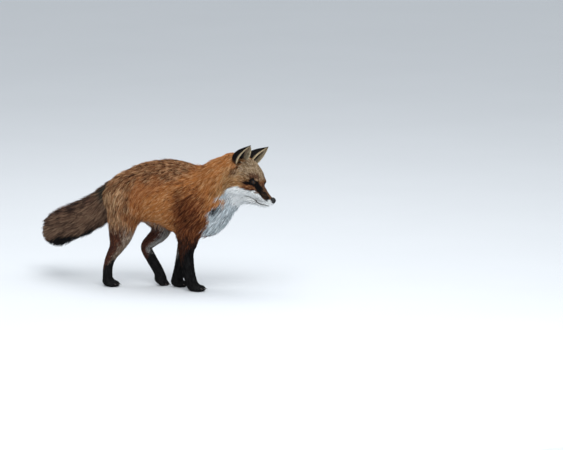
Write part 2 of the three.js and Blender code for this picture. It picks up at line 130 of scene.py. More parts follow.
@dataclass
class Reading:
    """What the form says at each of many points.

    Attributes:
        distance: Distance to the coat's outer surface, below zero inside.
        slope: The way in which the distance grows.
        lie: The way in which the coat lies.
        depth: How deep the coat is.
        part: The Part that each point is nearest.
    """

    distance: Array
    slope: Array
    lie: Array
    depth: Array
    part: Array

    @classmethod
    def nothing(cls, count: int) -> Reading:
        """The reading of points far from everything."""
        zeros = np.zeros((count, 3))
        return cls(np.full(count, FAR), zeros, zeros.copy(), np.zeros(count), np.zeros(count, int))

    def arrays(self) -> list[Array]:
        """Its arrays, in the order of its fields."""
        return [getattr(self, own.name) for own in fields(self)]

    def at(self, rows: Array) -> Reading:
        """The readings of some of the points."""
        return Reading(*(array[rows] for array in self.arrays()))

    def blend(self, other: Reading, width: float) -> Reading:
        """Two forms as one, rounded together over a width.

        Args:
            other: The reading of the other form at the same points.
            width: How far apart two distances may be and still blend.

        Returns:
            The reading of the joined form.
        """
        gap = self.distance - other.distance
        near = np.maximum(width - np.abs(gap), 0.0) / width
        share = np.where(gap <= 0, near / 2, 1 - near / 2)
        return Reading(
            np.minimum(self.distance, other.distance) - near * near * width / 4,
            mix(self.slope, other.slope, share), mix(self.lie, other.lie, share),
            mix(self.depth, other.depth, share), np.where(share > 0.5, other.part, self.part),
        )

    def carve(self, other: Reading, width: float) -> Reading:
        """This form with another taken out of it.

        Args:
            other: The reading of the form to take out.
            width: How far the edge of the cut is rounded.

        Returns:
            The reading of what is left.
        """
        flipped = replace(self, distance=-self.distance, slope=-self.slope)
        cut = flipped.blend(other, width)
        return replace(self, distance=-cut.distance, slope=-cut.slope)

    def nearer(self, other: Reading) -> Reading:
        """At each point, the reading with the smaller distance.

        Args:
            other: Another reading of the same points.

        Returns:
            The reading made of both.
        """
        mine = self.distance <= other.distance
        pairs = zip(self.arrays(), other.arrays())
        return Reading(*(np.where(mine if a.ndim == 1 else mine[:, None], a, b) for a, b in pairs))


class Shape:
    """A form that has something to say only near its own bounds."""

    low: Array
    high: Array
    margin = 62.0

    def read_near(self, points: Array) -> Reading:
        """Reads points that lie near this form."""
        raise NotImplementedError

    def read(self, points: Array) -> Reading:
        """Reads any points.

        Args:
            points: Points, near this form or far from it.

        Returns:
            The reading, which says no more of the far points than that they are far.
        """
        low, high = self.low - self.margin, self.high + self.margin
        near = np.all((points > low) & (points < high), axis=1)
        if near.all():
            return self.read_near(points)
        whole = Reading.nothing(len(points))
        if near.any():
            some = self.read_near(points[near])
            some.distance = np.minimum(some.distance, FAR)
            for every, found in zip(whole.arrays(), some.arrays()):
                every[near] = found
        return whole


class Limb(Shape):
    """A smooth run of oval sections, each [x, y, z, half width, half depth, depth of coat]."""

    def __init__(self, sections: list[list[float]], part: Part, way: int = 1) -> None:
        """Sets out the limb as short straight pieces.

        Args:
            sections: The oval sections, in order.
            part: What the limb is.
            way: 1 where the coat lies from the first section to the last, -1 the other way.
        """
        table = np.array(sections, float)
        first, last = 2 * table[0] - table[1], 2 * table[-1] - table[-2]
        knots = np.vstack([first, table, last])
        rows = []
        for k in range(len(table) - 1):
            a, b, c, d = knots[k : k + 4]
            for t in np.arange(STEPS) / STEPS:
                rows.append(
                    b
                    + (c - a) * t / 2
                    + (2 * a - 5 * b + 4 * c - d) * t**2 / 2
                    + (3 * b - a - 3 * c + d) * t**3 / 2
                )
        rows.append(table[-1])
        course = np.array(rows)
        self.start = course[:-1, :3]
        step = course[1:, :3] - self.start
        self.length = np.linalg.norm(step, axis=1)
        self.along = step / self.length[:, None]
        self.across = unit(np.array([0.0, 1.0, 0.0]) - self.along * self.along[:, 1:2])
        self.up = np.cross(self.along, self.across)
        self.size = course[:, 3:6]
        self.part = part
        self.way = way
        reach = self.size[:, :2].max()
        self.low = course[:, :3].min(axis=0) - reach
        self.high = course[:, :3].max(axis=0) + reach

    def place(self, points: Array) -> tuple[Array, Array, Array, Array]:
        """Where points lie on the limb.

        Args:
            points: Points in the limb's own frame.

        Returns:
            The nearest piece of each point, how far along it, the offset from its middle line,
            and the half width, half depth and depth of coat there.
        """
        count = len(points)
        best = np.full(count, np.inf)
        piece = np.zeros(count, int)
        share = np.zeros(count)
        for i in range(len(self.start)):
            q = points - self.start[i]
            t = np.clip(q @ self.along[i] / self.length[i], 0.0, 1.0)
            q = q - (t * self.length[i])[:, None] * self.along[i]
            apart = dot(q, q)
            closer = apart < best
            best = np.where(closer, apart, best)
            piece = np.where(closer, i, piece)
            share = np.where(closer, t, share)
        middle = self.start[piece] + (share * self.length[piece])[:, None] * self.along[piece]
        size = mix(self.size[piece], self.size[piece + 1], share)
        return piece, share, points - middle, size

    def wind(self, points: Array) -> tuple[Array, Array, Array]:
        """Where points lie by the limb's own measures.

        Args:
            points: Points in the limb's own frame.

        Returns:
            How far along it each is, from 0 to 1, and how far across and up it, in half sizes.
        """
        piece, share, q, size = self.place(points)
        station = (piece + share) / len(self.start)
        side = dot(q, self.across[piece]) / size[:, 0]
        rise = dot(q, self.up[piece]) / size[:, 1]
        return station, side, rise

    def read_near(self, points: Array) -> Reading:
        """Reads points near the limb.

        Args:
            points: Points near it.

        Returns:
            What it says there.
        """
        piece, _, q, size = self.place(points)
        across, up, along = self.across[piece], self.up[piece], self.along[piece]
        width, depth = size[:, 0], size[:, 1]
        a = dot(q, across) / width
        b = dot(q, up) / depth
        c = 2 * dot(q, along) / (width + depth)
        reach = np.sqrt(a * a + b * b + c * c)
        out = np.linalg.norm(q, axis=1)
        safe = np.maximum(reach, 1e-3)
        distance = np.where(reach > 1e-3, out * (1 - 1 / safe), -np.minimum(width, depth))
        slope = (
            across * (a / width)[:, None]
            + up * (b / depth)[:, None]
            + along * (2 * c / (width + depth))[:, None]
        )
        part = np.full(len(points), int(self.part))
        return Reading(distance, unit(slope), along * self.way, size[:, 2], part)


class Ball(Shape):
    """An ellipsoid."""

    margin = 70.0

    def __init__(
        self, at: list[float], radii: list[float], lie: tuple[float, float, float] = (-1, 0, 0),
        coat: float = 2.0, part: Part = Part.HEAD,
    ) -> None:
        """Places the ellipsoid.

        Args:
            at: Its middle.
            radii: Its half sizes.
            lie: The way in which the coat lies on it.
            coat: The depth of the coat on it.
            part: What it belongs to.
        """
        self.at, self.radii = np.array(at, float), np.array(radii, float)
        self.low, self.high = self.at - self.radii, self.at + self.radii
        self.lie, self.coat, self.part = unit(np.array(lie, float)), coat, part

    def read_near(self, points: Array) -> Reading:
        """Reads points near the ellipsoid.

        Args:
            points: Points near it.

        Returns:
            What it says there.
        """
        q = points - self.at
        one = np.linalg.norm(q / self.radii, axis=1)
        slope = q / self.radii**2
        two = np.maximum(np.linalg.norm(slope, axis=1), 1e-9)
        count = len(points)
        return Reading(
            one * (one - 1) / two, slope / two[:, None], np.tile(self.lie, (count, 1)),
            np.full(count, self.coat), np.full(count, int(self.part)),
        )


class Head(Shape):
    """The head without its ears, whose own frame starts at the tip of the nose.

    Attributes:
        nose: The tip of the nose in the fox's frame.
        turn: The turn from the head's frame to the fox's.
        eye: The middle of the left eye in the head's frame.
    """

    nose = np.array([283.0, -45.0, 308.5])
    turn = turned(-20, 23.5, -10)
    eye = np.array([-87.0, 26.5, 18.0])

    def __init__(self) -> None:
        """Sets out the shapes of the head."""
        self.cranium = Ball([-124, 0, 16], [46, 44, 47], (-1, 0, 0.1), 6)
        self.crown = Ball([-144, 0, 36], [29, 35, 34], (-1, 0, -0.1), 7)
        self.forehead = Ball([-103, 0, 13], [31, 30, 36], (-0.8, 0, 0.6), 4)
        self.muzzle = Limb(
            [
                [-11, 0, -9, 10.5, 11.5, 0.9], [-31, 0, -11.5, 15, 18, 1.2],
                [-47, 0, -10.5, 18.5, 21.5, 1.5], [-64, 0, -8, 24, 25.5, 2],
                [-84, 0, -7, 29, 29, 3],
            ],
            Part.HEAD,
        )
        self.jaw = Limb(
            [
                [-21, 0, -28, 8, 6.5, 1], [-36, 0, -33.5, 12, 9, 1.4], [-60, 0, -38, 17, 11, 2.5],
                [-90, 0, -41, 27, 20, 6], [-122, 0, -46, 37, 30, 12],
            ],
            Part.HEAD,
        )
        self.pairs = [
            {
                "cheek": Ball([-112, side * 34, -9], [35, 25, 30], (-0.8, side * 0.4, -0.45), 7),
                "ruff": Ball([-130, side * 46, -20], [27, 23, 26], (-0.65, side * 0.35, -0.65), 12),
                "brow": Ball([-90, side * 22, 26], [14, 9, 8], (-0.75, side * 0.4, 0.5), 2.5),
                "socket": Ball([-84, side * 38, 17], [13, 9, 9]),
            }
            for side in Side
        ]
        middle = self.to_fox(np.array([[-90.0, 0.0, 0.0]]))[0]
        self.low, self.high = middle - 90, middle + 90

    def to_fox(self, points: Array) -> Array:
        """Points of the head's frame in the fox's."""
        return points @ self.turn.T + self.nose

    def to_head(self, points: Array) -> Array:
        """Points of the fox's frame in the head's."""
        return (points - self.nose) @ self.turn

    def from_eye(self, points: Array) -> Array:
        """How far points of the head's frame are from the middle of the nearer eye."""
        x, y, z = points.T
        return np.linalg.norm(np.stack([x, np.abs(y), z], 1) - self.eye, axis=1)

    def read_near(self, points: Array) -> Reading:
        """Reads points of the fox's frame near the head.

        Args:
            points: Points near it.

        Returns:
            What it says there.
        """
        p = self.to_head(points)
        reading = self.cranium.read(p).blend(self.crown.read(p), 14)
        reading = reading.blend(self.forehead.read(p), 12)
        reading = reading.blend(self.muzzle.read(p), 14)
        reading = reading.blend(self.jaw.read(p), 7)
        for pair in self.pairs:
            reading = reading.blend(pair["cheek"].read(p), 16)
            reading = reading.blend(pair["ruff"].read(p), 14)
            reading = reading.blend(pair["brow"].read(p), 8)
            reading = reading.carve(pair["socket"].read(p), 6)
        reading.depth = reading.depth * (0.3 + 0.7 * ramp(10, 30, self.from_eye(p)))
        reading.slope = reading.slope @ self.turn.T
        reading.lie = reading.lie @ self.turn.T
        return reading


@dataclass
class Paw(Shape):
    """A paw's pad and toes.

    Attributes:
        at: Where it stands.
        heading: How far it is turned to the left, in degrees.
        pitch: How far its toes are tipped down, in degrees.
        reach: How far its toes reach, as a share of their usual reach.
        pad_radii: The half sizes of its pad.
        toe_radii: The half sizes of a toe.
        toes: Where its toes are, in its own frame.
    """

    at: tuple[float, float]
    heading: float
    pitch: float
    reach: float
    pad_radii: tuple[float, float, float] = (21, 18, 15)
    toe_radii: tuple[float, float, float] = (14, 8, 10.5)
    toes: tuple[tuple[float, float], ...] = ((12, -14.5), (20, -5.5), (20, 5.5), (12, 14.5))

    def __post_init__(self) -> None:
        """Sets out the pad and the toes."""
        lift = self.pad_radii[2] - 3 + 12 * math.sin(math.radians(self.pitch))
        self.middle = np.array([*self.at, lift])
        self.turn = turned(self.heading, self.pitch, 0)
        lie, coat, part = (1, 0, -0.25), 1.6, Part.PAW
        self.pad = Ball([0, 0, 0], self.pad_radii, lie, coat, part)
        self.toe_balls = [
            Ball([x * self.reach, y, -2.5], self.toe_radii, lie, coat, part) for x, y in self.toes
        ]
        self.low, self.high = self.middle - 40, self.middle + 40

    def to_fox(self, points: Array) -> Array:
        """Points of the paw's frame in the fox's."""
        return points @ self.turn.T + self.middle

    def read_near(self, points: Array) -> Reading:
        """Reads points of the fox's frame near the paw.

        Args:
            points: Points near it.

        Returns:
            What it says there.
        """
        p = (points - self.middle) @ self.turn
        reading = self.pad.read(p)
        for toe in self.toe_balls:
            reading = reading.blend(toe.read(p), 4)
        reading.slope = reading.slope @ self.turn.T
        reading.lie = reading.lie @ self.turn.T
        return reading


@dataclass
class Leg:
    """A leg with its paw.

    Attributes:
        limb: The leg's own form.
        paw: Its paw.
        side: Its side.
        blend: The width over which it is rounded into the trunk.
    """

    limb: Limb
    paw: Paw
    side: Side
    blend: float


class Form:
    """The whole fox out to the tips of its coat, without ears.

    Attributes:
        coat_share: How much of the coat's full depth the skin leaves to the fur.
    """

    coat_share = 0.65

    def __init__(self) -> None:
        """Sets out the fox's parts."""
        self.trunk = Limb(
            [
                [-272, 0, 292, 46, 44, 15], [-246, 0, 299, 68, 70, 16], [-203, 0, 303, 80, 88, 15],
                [-150, 0, 309, 84, 101, 13], [-90, 0, 308, 87, 111, 13], [-40, 0, 292, 87, 117, 13],
                [5, 0, 277, 82, 116, 15], [36, 0, 262, 68, 95, 17],
            ],
            Part.TRUNK, -1,
        )
        self.neck = Limb(
            [
                [25, 0, 284, 76, 86, 17], [74, 0, 330, 77, 90, 20], [105, 1, 363, 71, 83, 18],
                [128, 3, 384, 58, 68, 12],
            ],
            Part.NECK, -1,
        )
        self.tail = Limb(
            [
                [-262, 0, 320, 34, 32, 12], [-300, 3, 284, 40, 46, 18], [-345, 12, 240, 49, 55, 24],
                [-410, 36, 205, 53, 58, 28], [-466, 64, 182, 53, 57, 30],
                [-512, 98, 157, 50, 56, 30], [-544, 138, 138, 42, 50, 27],
                [-560, 172, 128, 26, 31, 17], [-566, 196, 124, 7, 8, 4],
            ],
            Part.TAIL,
        )
        self.head = Head()
        self.legs = [
            Leg(
                Limb(
                    [
                        [22, -50, 262, 34, 48, 14], [-8, -50, 205, 33, 43, 11],
                        [-14, -46, 163, 28, 36, 8], [-20, -41, 128, 22, 26, 5],
                        [-19, -37, 95, 19.5, 23, 4], [-14, -35, 57, 18.5, 21.5, 3],
                        [-4, -33, 22, 18, 19, 2],
                    ],
                    Part.FORELEG,
                ),
                Paw((6, -32), 0, 0, 1), Side.RIGHT, 34,
            ),
            Leg(
                Limb(
                    [
                        [4, 50, 262, 34, 48, 14], [-28, 50, 205, 33, 43, 11],
                        [-45, 46, 163, 28, 35, 8], [-57, 42, 128, 22, 26, 5],
                        [-63, 38, 98, 19.5, 22.5, 4], [-70, 35, 62, 18.5, 20.5, 3],
                        [-80, 32, 24, 18, 18.5, 2],
                    ],
                    Part.FORELEG,
                ),
                Paw((-78, 31), 4, 6, 0.95), Side.LEFT, 34,
            ),
            Leg(
                Limb(
                    [
                        [-236, -44, 300, 44, 58, 15], [-232, -48, 245, 38, 58, 13],
                        [-238, -47, 200, 31, 50, 10], [-247, -44, 161, 25, 39, 7],
                        [-259, -41, 130, 20, 26, 4.5], [-276, -38, 103, 16.5, 18.5, 3],
                        [-286, -37, 82, 16, 16.5, 2.6], [-292, -36, 55, 15.5, 16, 2.3],
                        [-293, -36, 22, 17, 16.5, 1.8],
                    ],
                    Part.HINDLEG,
                ),
                Paw((-286, -36), -3, 4, 0.97), Side.RIGHT, 40,
            ),
            Leg(
                Limb(
                    [
                        [-205, 46, 300, 44, 58, 15], [-166, 48, 245, 40, 56, 13],
                        [-138, 47, 195, 30, 40, 9], [-150, 45, 163, 22, 29, 5],
                        [-172, 43, 143, 18.5, 23, 4], [-189, 41, 120, 16.5, 19, 3],
                        [-172, 40, 86, 15.5, 18, 2.6], [-151, 39, 54, 16, 17.5, 2.3],
                        [-137, 38, 26, 17, 17, 1.8],
                    ],
                    Part.HINDLEG,
                ),
                Paw((-139, 38), 4, 26, 0.85), Side.LEFT, 40,
            ),
        ]

    def read(self, points: Array) -> Reading:
        """Reads the whole fox at many points.

        Args:
            points: Points of the fox's frame, one in each row.

        Returns:
            What the form says at each.
        """
        body = self.trunk.read(points).blend(self.neck.read(points), 26)
        body = body.blend(self.tail.read(points), 22).blend(self.head.read(points), 24)
        whole = None
        for leg in self.legs:
            limb = leg.limb.read(points).blend(leg.paw.read(points), 9)
            joined = body.blend(limb, leg.blend)
            whole = joined if whole is None else whole.nearer(joined)
        whole.depth = whole.depth * self.coat_share
        return whole

    def read_in_turn(self, points: Array, batch: int = 40000) -> Reading:
        """Reads the whole fox at many points, a batch at a time."""
        readings = [self.read(points[i : i + batch]).arrays() for i in range(0, len(points), batch)]
        return Reading(*(np.concatenate(arrays) for arrays in zip(*readings)))


# Surfaces of fields -------------------------------------------------------------------------------


@dataclass(frozen=True)
class Closeness:
    """A grid drawn together around one place, so that its cells are finer there.

    Attributes:
        at: The place.
        finest: The size of the cells there, as a share of their size far away.
        span: How far the fine cells reach.
    """

    at: tuple[float, float, float] = (0, 0, 0)
    finest: float = 1.0
    span: float = 150.0

    def draw(self, points: Array) -> Array:
        """Points of the even grid, drawn together."""
        r = np.maximum(np.linalg.norm(points, axis=-1, keepdims=True), 1e-6)
        pull = (1 - self.finest) * self.span * np.tanh(r / self.span)
        return points * (r - pull) / r + np.array(self.at)


CORNERS = np.array([[i & 1, (i >> 1) & 1, (i >> 2) & 1] for i in range(8)])
EDGES = [(i, i | b) for i in range(8) for b in (1, 2, 4) if not i & b]


def fill_pinches(inside: Array, values: Array) -> None:
    """Fills the corners where the inside would meet itself along no more than an edge.

    Args:
        inside: Which corners of the grid are inside, which is changed in place.
        values: The value at each corner, also changed in place.
    """
    for _ in range(12):
        filled = 0
        for axes in ((0, 1), (0, 2), (1, 2)):
            cut = [[slice(None)] * 3 for _ in range(4)]
            for n, (a, b) in enumerate(((0, 0), (1, 0), (0, 1), (1, 1))):
                cut[n][axes[0]] = slice(1, None) if a else slice(None, -1)
                cut[n][axes[1]] = slice(1, None) if b else slice(None, -1)
            near, one, other, far = (inside[tuple(c)] for c in cut)
            first = near & far & ~one & ~other
            second = one & other & ~near & ~far
            filled += int(first.sum() + second.sum())
            values[tuple(cut[1])][first] = -0.01
            values[tuple(cut[0])][second] = -0.01
            inside[tuple(cut[1])][first] = True
            inside[tuple(cut[0])][second] = True
        if not filled:
            return


def surface_net(
    value_at: Callable[[Array], Array], low: Array, high: Array, cell: float,
    closeness: Closeness = Closeness(),
) -> tuple[Array, Array]:
    """The surface where a value is zero, as a closed net of four-sided faces.

    Args:
        value_at: Gives the value at each row of an array of points, below zero inside.
        low: The grid's lowest corner, from the place that its cells are drawn to.
        high: Its highest corner.
        cell: The size of its cells where they are widest.
        closeness: How the cells are drawn together.

    Returns:
        The vertices and the faces, which point outwards.
    """
    size = np.ceil((np.array(high) - low) / cell).astype(int) + 1
    axes = [low[i] + cell * np.arange(size[i]) for i in range(3)]
    block = 4
    rough = [a[::block] for a in axes]
    mesh = np.stack(np.meshgrid(*rough, indexing="ij"), -1)
    value = value_at(closeness.draw(mesh.reshape(-1, 3))).reshape(mesh.shape[:3])
    close = np.abs(value) < block * cell * 1.35
    near = np.zeros(size, bool)
    for i, j, k in np.argwhere(close):
        near[
            max(block * i - block, 0) : block * i + block + 1,
            max(block * j - block, 0) : block * j + block + 1,
            max(block * k - block, 0) : block * k + block + 1,
        ] = True
    spread = value.repeat(block, 0).repeat(block, 1).repeat(block, 2)
    values = spread[: size[0], : size[1], : size[2]].copy()
    where = np.argwhere(near)
    places = np.array(low) + cell * where
    values[near] = value_at(closeness.draw(places))
    for n in range(3):
        for end in (0, -1):
            rim = [slice(None)] * 3
            rim[n] = end
            values[tuple(rim)] = np.maximum(values[tuple(rim)], 0.01)
    inside = values < 0
    fill_pinches(inside, values)

    cells = np.zeros(size - 1, np.int8)
    for c in CORNERS:
        cells += inside[
            c[0] : size[0] - 1 + c[0], c[1] : size[1] - 1 + c[1], c[2] : size[2] - 1 + c[2]
        ]
    crossed = (cells > 0) & (cells < 8)
    index = np.full(size - 1, -1)
    at = np.argwhere(crossed)
    index[crossed] = np.arange(len(at))
    total, count = np.zeros((len(at), 3)), np.zeros(len(at))
    corner = [values[tuple((at + c).T)] for c in CORNERS]
    for a, b in EDGES:
        cut = (corner[a] < 0) != (corner[b] < 0)
        t = np.where(cut, corner[a] / np.where(cut, corner[a] - corner[b], 1), 0)
        total += np.where(cut[:, None], CORNERS[a] + t[:, None] * (CORNERS[b] - CORNERS[a]), 0)
        count += cut
    vertices = closeness.draw(np.array(low) + cell * (at + total / count[:, None]))
    faces = []
    for n in range(3):
        one, two = [(1, 2), (2, 0), (0, 1)][n]
        ahead = [slice(1, -1)] * 3
        ahead[n] = slice(2, None)
        here = inside[1:-1, 1:-1, 1:-1]
        change = np.argwhere(here != inside[tuple(ahead)]) + 1
        solid = inside[tuple(change.T)]
        ring = []
        for da, db in ((0, 0), (0, 1), (1, 1), (1, 0)):
            offset = np.zeros(3, int)
            offset[one], offset[two] = -da, -db
            ring.append(index[tuple((change + offset).T)])
        ring = np.stack(ring, 1)
        ring[solid] = ring[solid][:, ::-1]
        faces.append(ring)
    faces = np.concatenate(faces)
    return vertices, faces[(faces >= 0).all(axis=1)]


def settle(
    vertices: Array, value_and_slope: Callable[[Array], tuple[Array, Array]], rounds: int = 2
) -> Array:
    """Moves the vertices of a net onto the surface of its value.

    Args:
        vertices: The net's vertices.
        value_and_slope: Gives the value and its slope at each row of an array of points.
        rounds: How many times they are moved.

    Returns:
        The moved vertices.
    """
    for _ in range(rounds):
        value, slope = value_and_slope(vertices)
        square = np.maximum(dot(slope, slope), 0.3)
        vertices = vertices - slope * np.clip(value / square, -2.5, 2.5)[:, None]
    return vertices


def ripple(points: Array, wavelength: float, seed: int, waves: int = 6) -> Array:
    """A smooth uneven number between about -1 and 1 at each point.

    Args:
        points: The points.
        wavelength: How far apart its crests are, about.
        seed: What its waves are drawn from.
        waves: How many waves it is the sum of.

    Returns:
        A number for each point.
    """
    rng = np.random.default_rng(seed)
    ways = unit(rng.normal(size=(waves, 3))) * rng.uniform(0.6, 1.5, (waves, 1))
    phases = rng.uniform(0, 2 * math.pi, waves)
    return np.sin(points @ ways.T * (2 * math.pi / wavelength) + phases).sum(1) / waves**0.5 / 1.2


# Markings -----------------------------------------------------------------------------------------


@dataclass(frozen=True)
class Profile:
    """A measure that changes along a line, straight from knot to knot.

    Attributes:
        along: Where the knots are.
        measures: The measure at each knot.
    """

    along: tuple[float, ...]
    measures: tuple[float, ...]

    def at(self, x: Array) -> Array:
        """The measure at places along the line."""
        return np.interp(x, self.along, self.measures)


@dataclass(frozen=True)
class Spot:
    """An oval marking with a soft edge, as seen from the side.

    Attributes:
        x: Its middle's place along X.
        z: Its middle's height.
        long: Half its length.
        high: Half its height.
        ragged: How uneven its edge is.
        edge: Where it ends and where it is full, in half sizes.
        lean: The way of its length along X and Z.
    """

    x: float
    z: float
    long: float
    high: float
    ragged: float
    edge: tuple[float, float] = (1.1, 0.6)
    lean: tuple[float, float] = (1.0, 0.0)

    def share(self, x: Array, z: Array, fine: Array) -> Array:
        """How much of it lies at places.

        Args:
            x: Their places along X.
            z: Their heights.
            fine: The unevenness there.

        Returns:
            A share from 0 to 1 for each.
        """
        dx, dz = x - self.x, z - self.z
        along = self.lean[0] * dx + self.lean[1] * dz
        across = self.lean[0] * dz - self.lean[1] * dx
        reach = np.hypot(along / self.long, across / self.high)
        return ramp(*self.edge, reach + self.ragged * fine)


# The head's own lines and spots, in its own frame.
MOUTH = Profile((-104, -82, -64, -48, -36, -14), (-36, -33.5, -31.5, -34, -33, -25))
CHEEK_EDGE = Profile(
    (-200, -180, -165, -156, -140, -125, -112, -102, -88, -75, -56, -38, -20, -12, 0),
    (-125, -90, -60, -48, -30, -18, -12, -11, -9, -8, -7, -12, -13, -6, -2),
)
STRIPE_FOOT = Profile((-90, -80, -59, -38, -24, -10), (13, 9, -3, -11.5, -14, -13))
STRIPE_CREST = Profile((-84, -75, -65, -48, -34, -19, -12), (22, 16, 9, 9, 6, 7, 8))
NAPE = Spot(-156, 26, 14, 11, 0.35)
EAR_FOOT = Spot(-154, 51, 17, 4.5, 0.2, (1.15, 0.7), (0.52, -0.85))
BROW = Spot(-92, 33, 16, 9, 0.25, (1.2, 0.7))
TEMPLE = Spot(-112, 12, 16, 10, 0.4)

# The body's, in the fox's frame.
BIB_EDGE = Profile(
    (150, 175, 217, 233, 260, 273, 299, 313, 326, 340, 375),
    (24, 30, 48, 61, 65, 67, 94, 124, 130, 148, 190),
)
BIB_SPOT = Spot(92, 285, 28, 8, 0.45, (1.2, 0.5), (0.7, 0.7))


def shade(red: int, green: int, blue: int) -> Array:
    """A colour of red, green and blue out of 255 as shaders take it."""
    c = np.array([red, green, blue]) / 255
    return np.where(c <= 0.04045, c / 12.92, ((c + 0.055) / 1.055) ** 2.4)


@dataclass(frozen=True)
class Hue:
    """The colours of the hairs in one marking.

    Attributes:
        main: The colour of most hairs.
        dark: The colour of the dark hairs.
        pale: The colour of the pale hairs.
        dark_share: How many hairs are dark.
        pale_share: How many hairs are pale.
    """

    main: tuple[int, int, int]
    dark: tuple[int, int, int]
    pale: tuple[int, int, int]
    dark_share: float = 0.15
    pale_share: float = 0.15

    def row(self) -> Array:
        """The hue as one row of numbers."""
        colours = [shade(*self.main), shade(*self.dark), shade(*self.pale)]
        return np.concatenate([*colours, [self.dark_share, self.pale_share]])


class Marking(IntEnum):
    """The markings of the coat."""

    FLANK = 0
    BACK = 1
    RUMP = 2
    BELLY = 3
    NECK = 4
    SHOULDER = 5
    # white fur, painted grey-blue and darker for the shade on it
    WHITE = 6
    BLACK = 7
    ELBOW = 8
    SHANK_BACK = 9
    SHANK_FRONT = 10
    TAIL = 11
    TAIL_TOP = 12
    FOREHEAD = 13
    BRIDGE = 14
    CHEEK = 15
    RUFF = 16
    INNER_LEG = 17
    GLAND = 18
    FACE_WHITE = 19


HUES = {
    Marking.FLANK: Hue((154, 94, 53), (104, 58, 32), (188, 132, 88), 0.2, 0.22),
    Marking.BACK: Hue((132, 88, 58), (42, 27, 19), (194, 150, 110), 0.32, 0.2),
    Marking.RUMP: Hue((168, 120, 84), (72, 48, 34), (214, 176, 134), 0.25, 0.28),
    Marking.BELLY: Hue((150, 132, 122), (92, 76, 70), (196, 186, 180), 0.25, 0.25),
    Marking.NECK: Hue((176, 112, 62), (122, 72, 38), (206, 156, 108), 0.18, 0.22),
    Marking.SHOULDER: Hue((106, 57, 30), (56, 29, 16), (158, 100, 62), 0.36, 0.2),
    # The white fur of the bib and of the cheeks behind the muzzle, painted grey-blue and darker for
    # the shade on it.
    Marking.WHITE: Hue((186, 198, 204), (104, 112, 120), (236, 243, 246), 0.24, 0.3),
    Marking.BLACK: Hue((8, 7, 9), (4, 4, 5), (28, 23, 22), 0.4, 0.08),
    Marking.ELBOW: Hue((66, 35, 20), (32, 18, 13), (112, 64, 38), 0.4, 0.15),
    Marking.SHANK_BACK: Hue((82, 45, 32), (42, 24, 20), (118, 74, 52), 0.4, 0.15),
    Marking.SHANK_FRONT: Hue((136, 114, 96), (86, 66, 54), (186, 170, 154), 0.28, 0.25),
    Marking.TAIL: Hue((112, 86, 69), (72, 54, 44), (142, 114, 92), 0.32, 0.22),
    Marking.TAIL_TOP: Hue((78, 56, 46), (38, 29, 27), (112, 84, 68), 0.42, 0.15),
    Marking.FOREHEAD: Hue((150, 125, 95), (84, 60, 43), (198, 178, 150), 0.34, 0.28),
    Marking.BRIDGE: Hue((96, 66, 47), (50, 33, 26), (146, 112, 86), 0.34, 0.2),
    Marking.CHEEK: Hue((114, 70, 43), (60, 36, 25), (166, 118, 80), 0.34, 0.2),
    Marking.RUFF: Hue((156, 112, 70), (98, 64, 40), (200, 166, 122), 0.27, 0.26),
    Marking.INNER_LEG: Hue((152, 150, 146), (100, 94, 90), (192, 190, 186), 0.25, 0.25),
    Marking.GLAND: Hue((66, 64, 56), (34, 33, 31), (100, 92, 78), 0.4, 0.2),
    Marking.FACE_WHITE: Hue((246, 250, 250), (200, 208, 210), (254, 255, 255), 0.12, 0.4),
}
PALETTE = np.stack([HUES[m].row() for m in Marking])


@dataclass
class Canvas:
    """Points that markings are laid on.

    Attributes:
        points: The points, in the fox's frame.
        reading: What the form says there.
        weights: How much of each marking lies at each point so far.
        uneven: A slow unevenness for the edges of markings.
        fine: A quick one.
    """

    points: Array
    reading: Reading
    weights: Array
    uneven: Array
    fine: Array

    def on(self, *parts: Part) -> Array:
        """Which points belong to any of some parts."""
        return np.isin(self.reading.part, [int(part) for part in parts])

    def lay(self, marking: Marking, share: Array) -> None:
        """Lays a marking over what is there.

        Args:
            marking: The marking.
            share: How much of it hides what is there, at each point.
        """
        share = np.clip(share, 0, 1)
        self.weights *= (1 - share)[:, None]
        self.weights[:, marking] += share


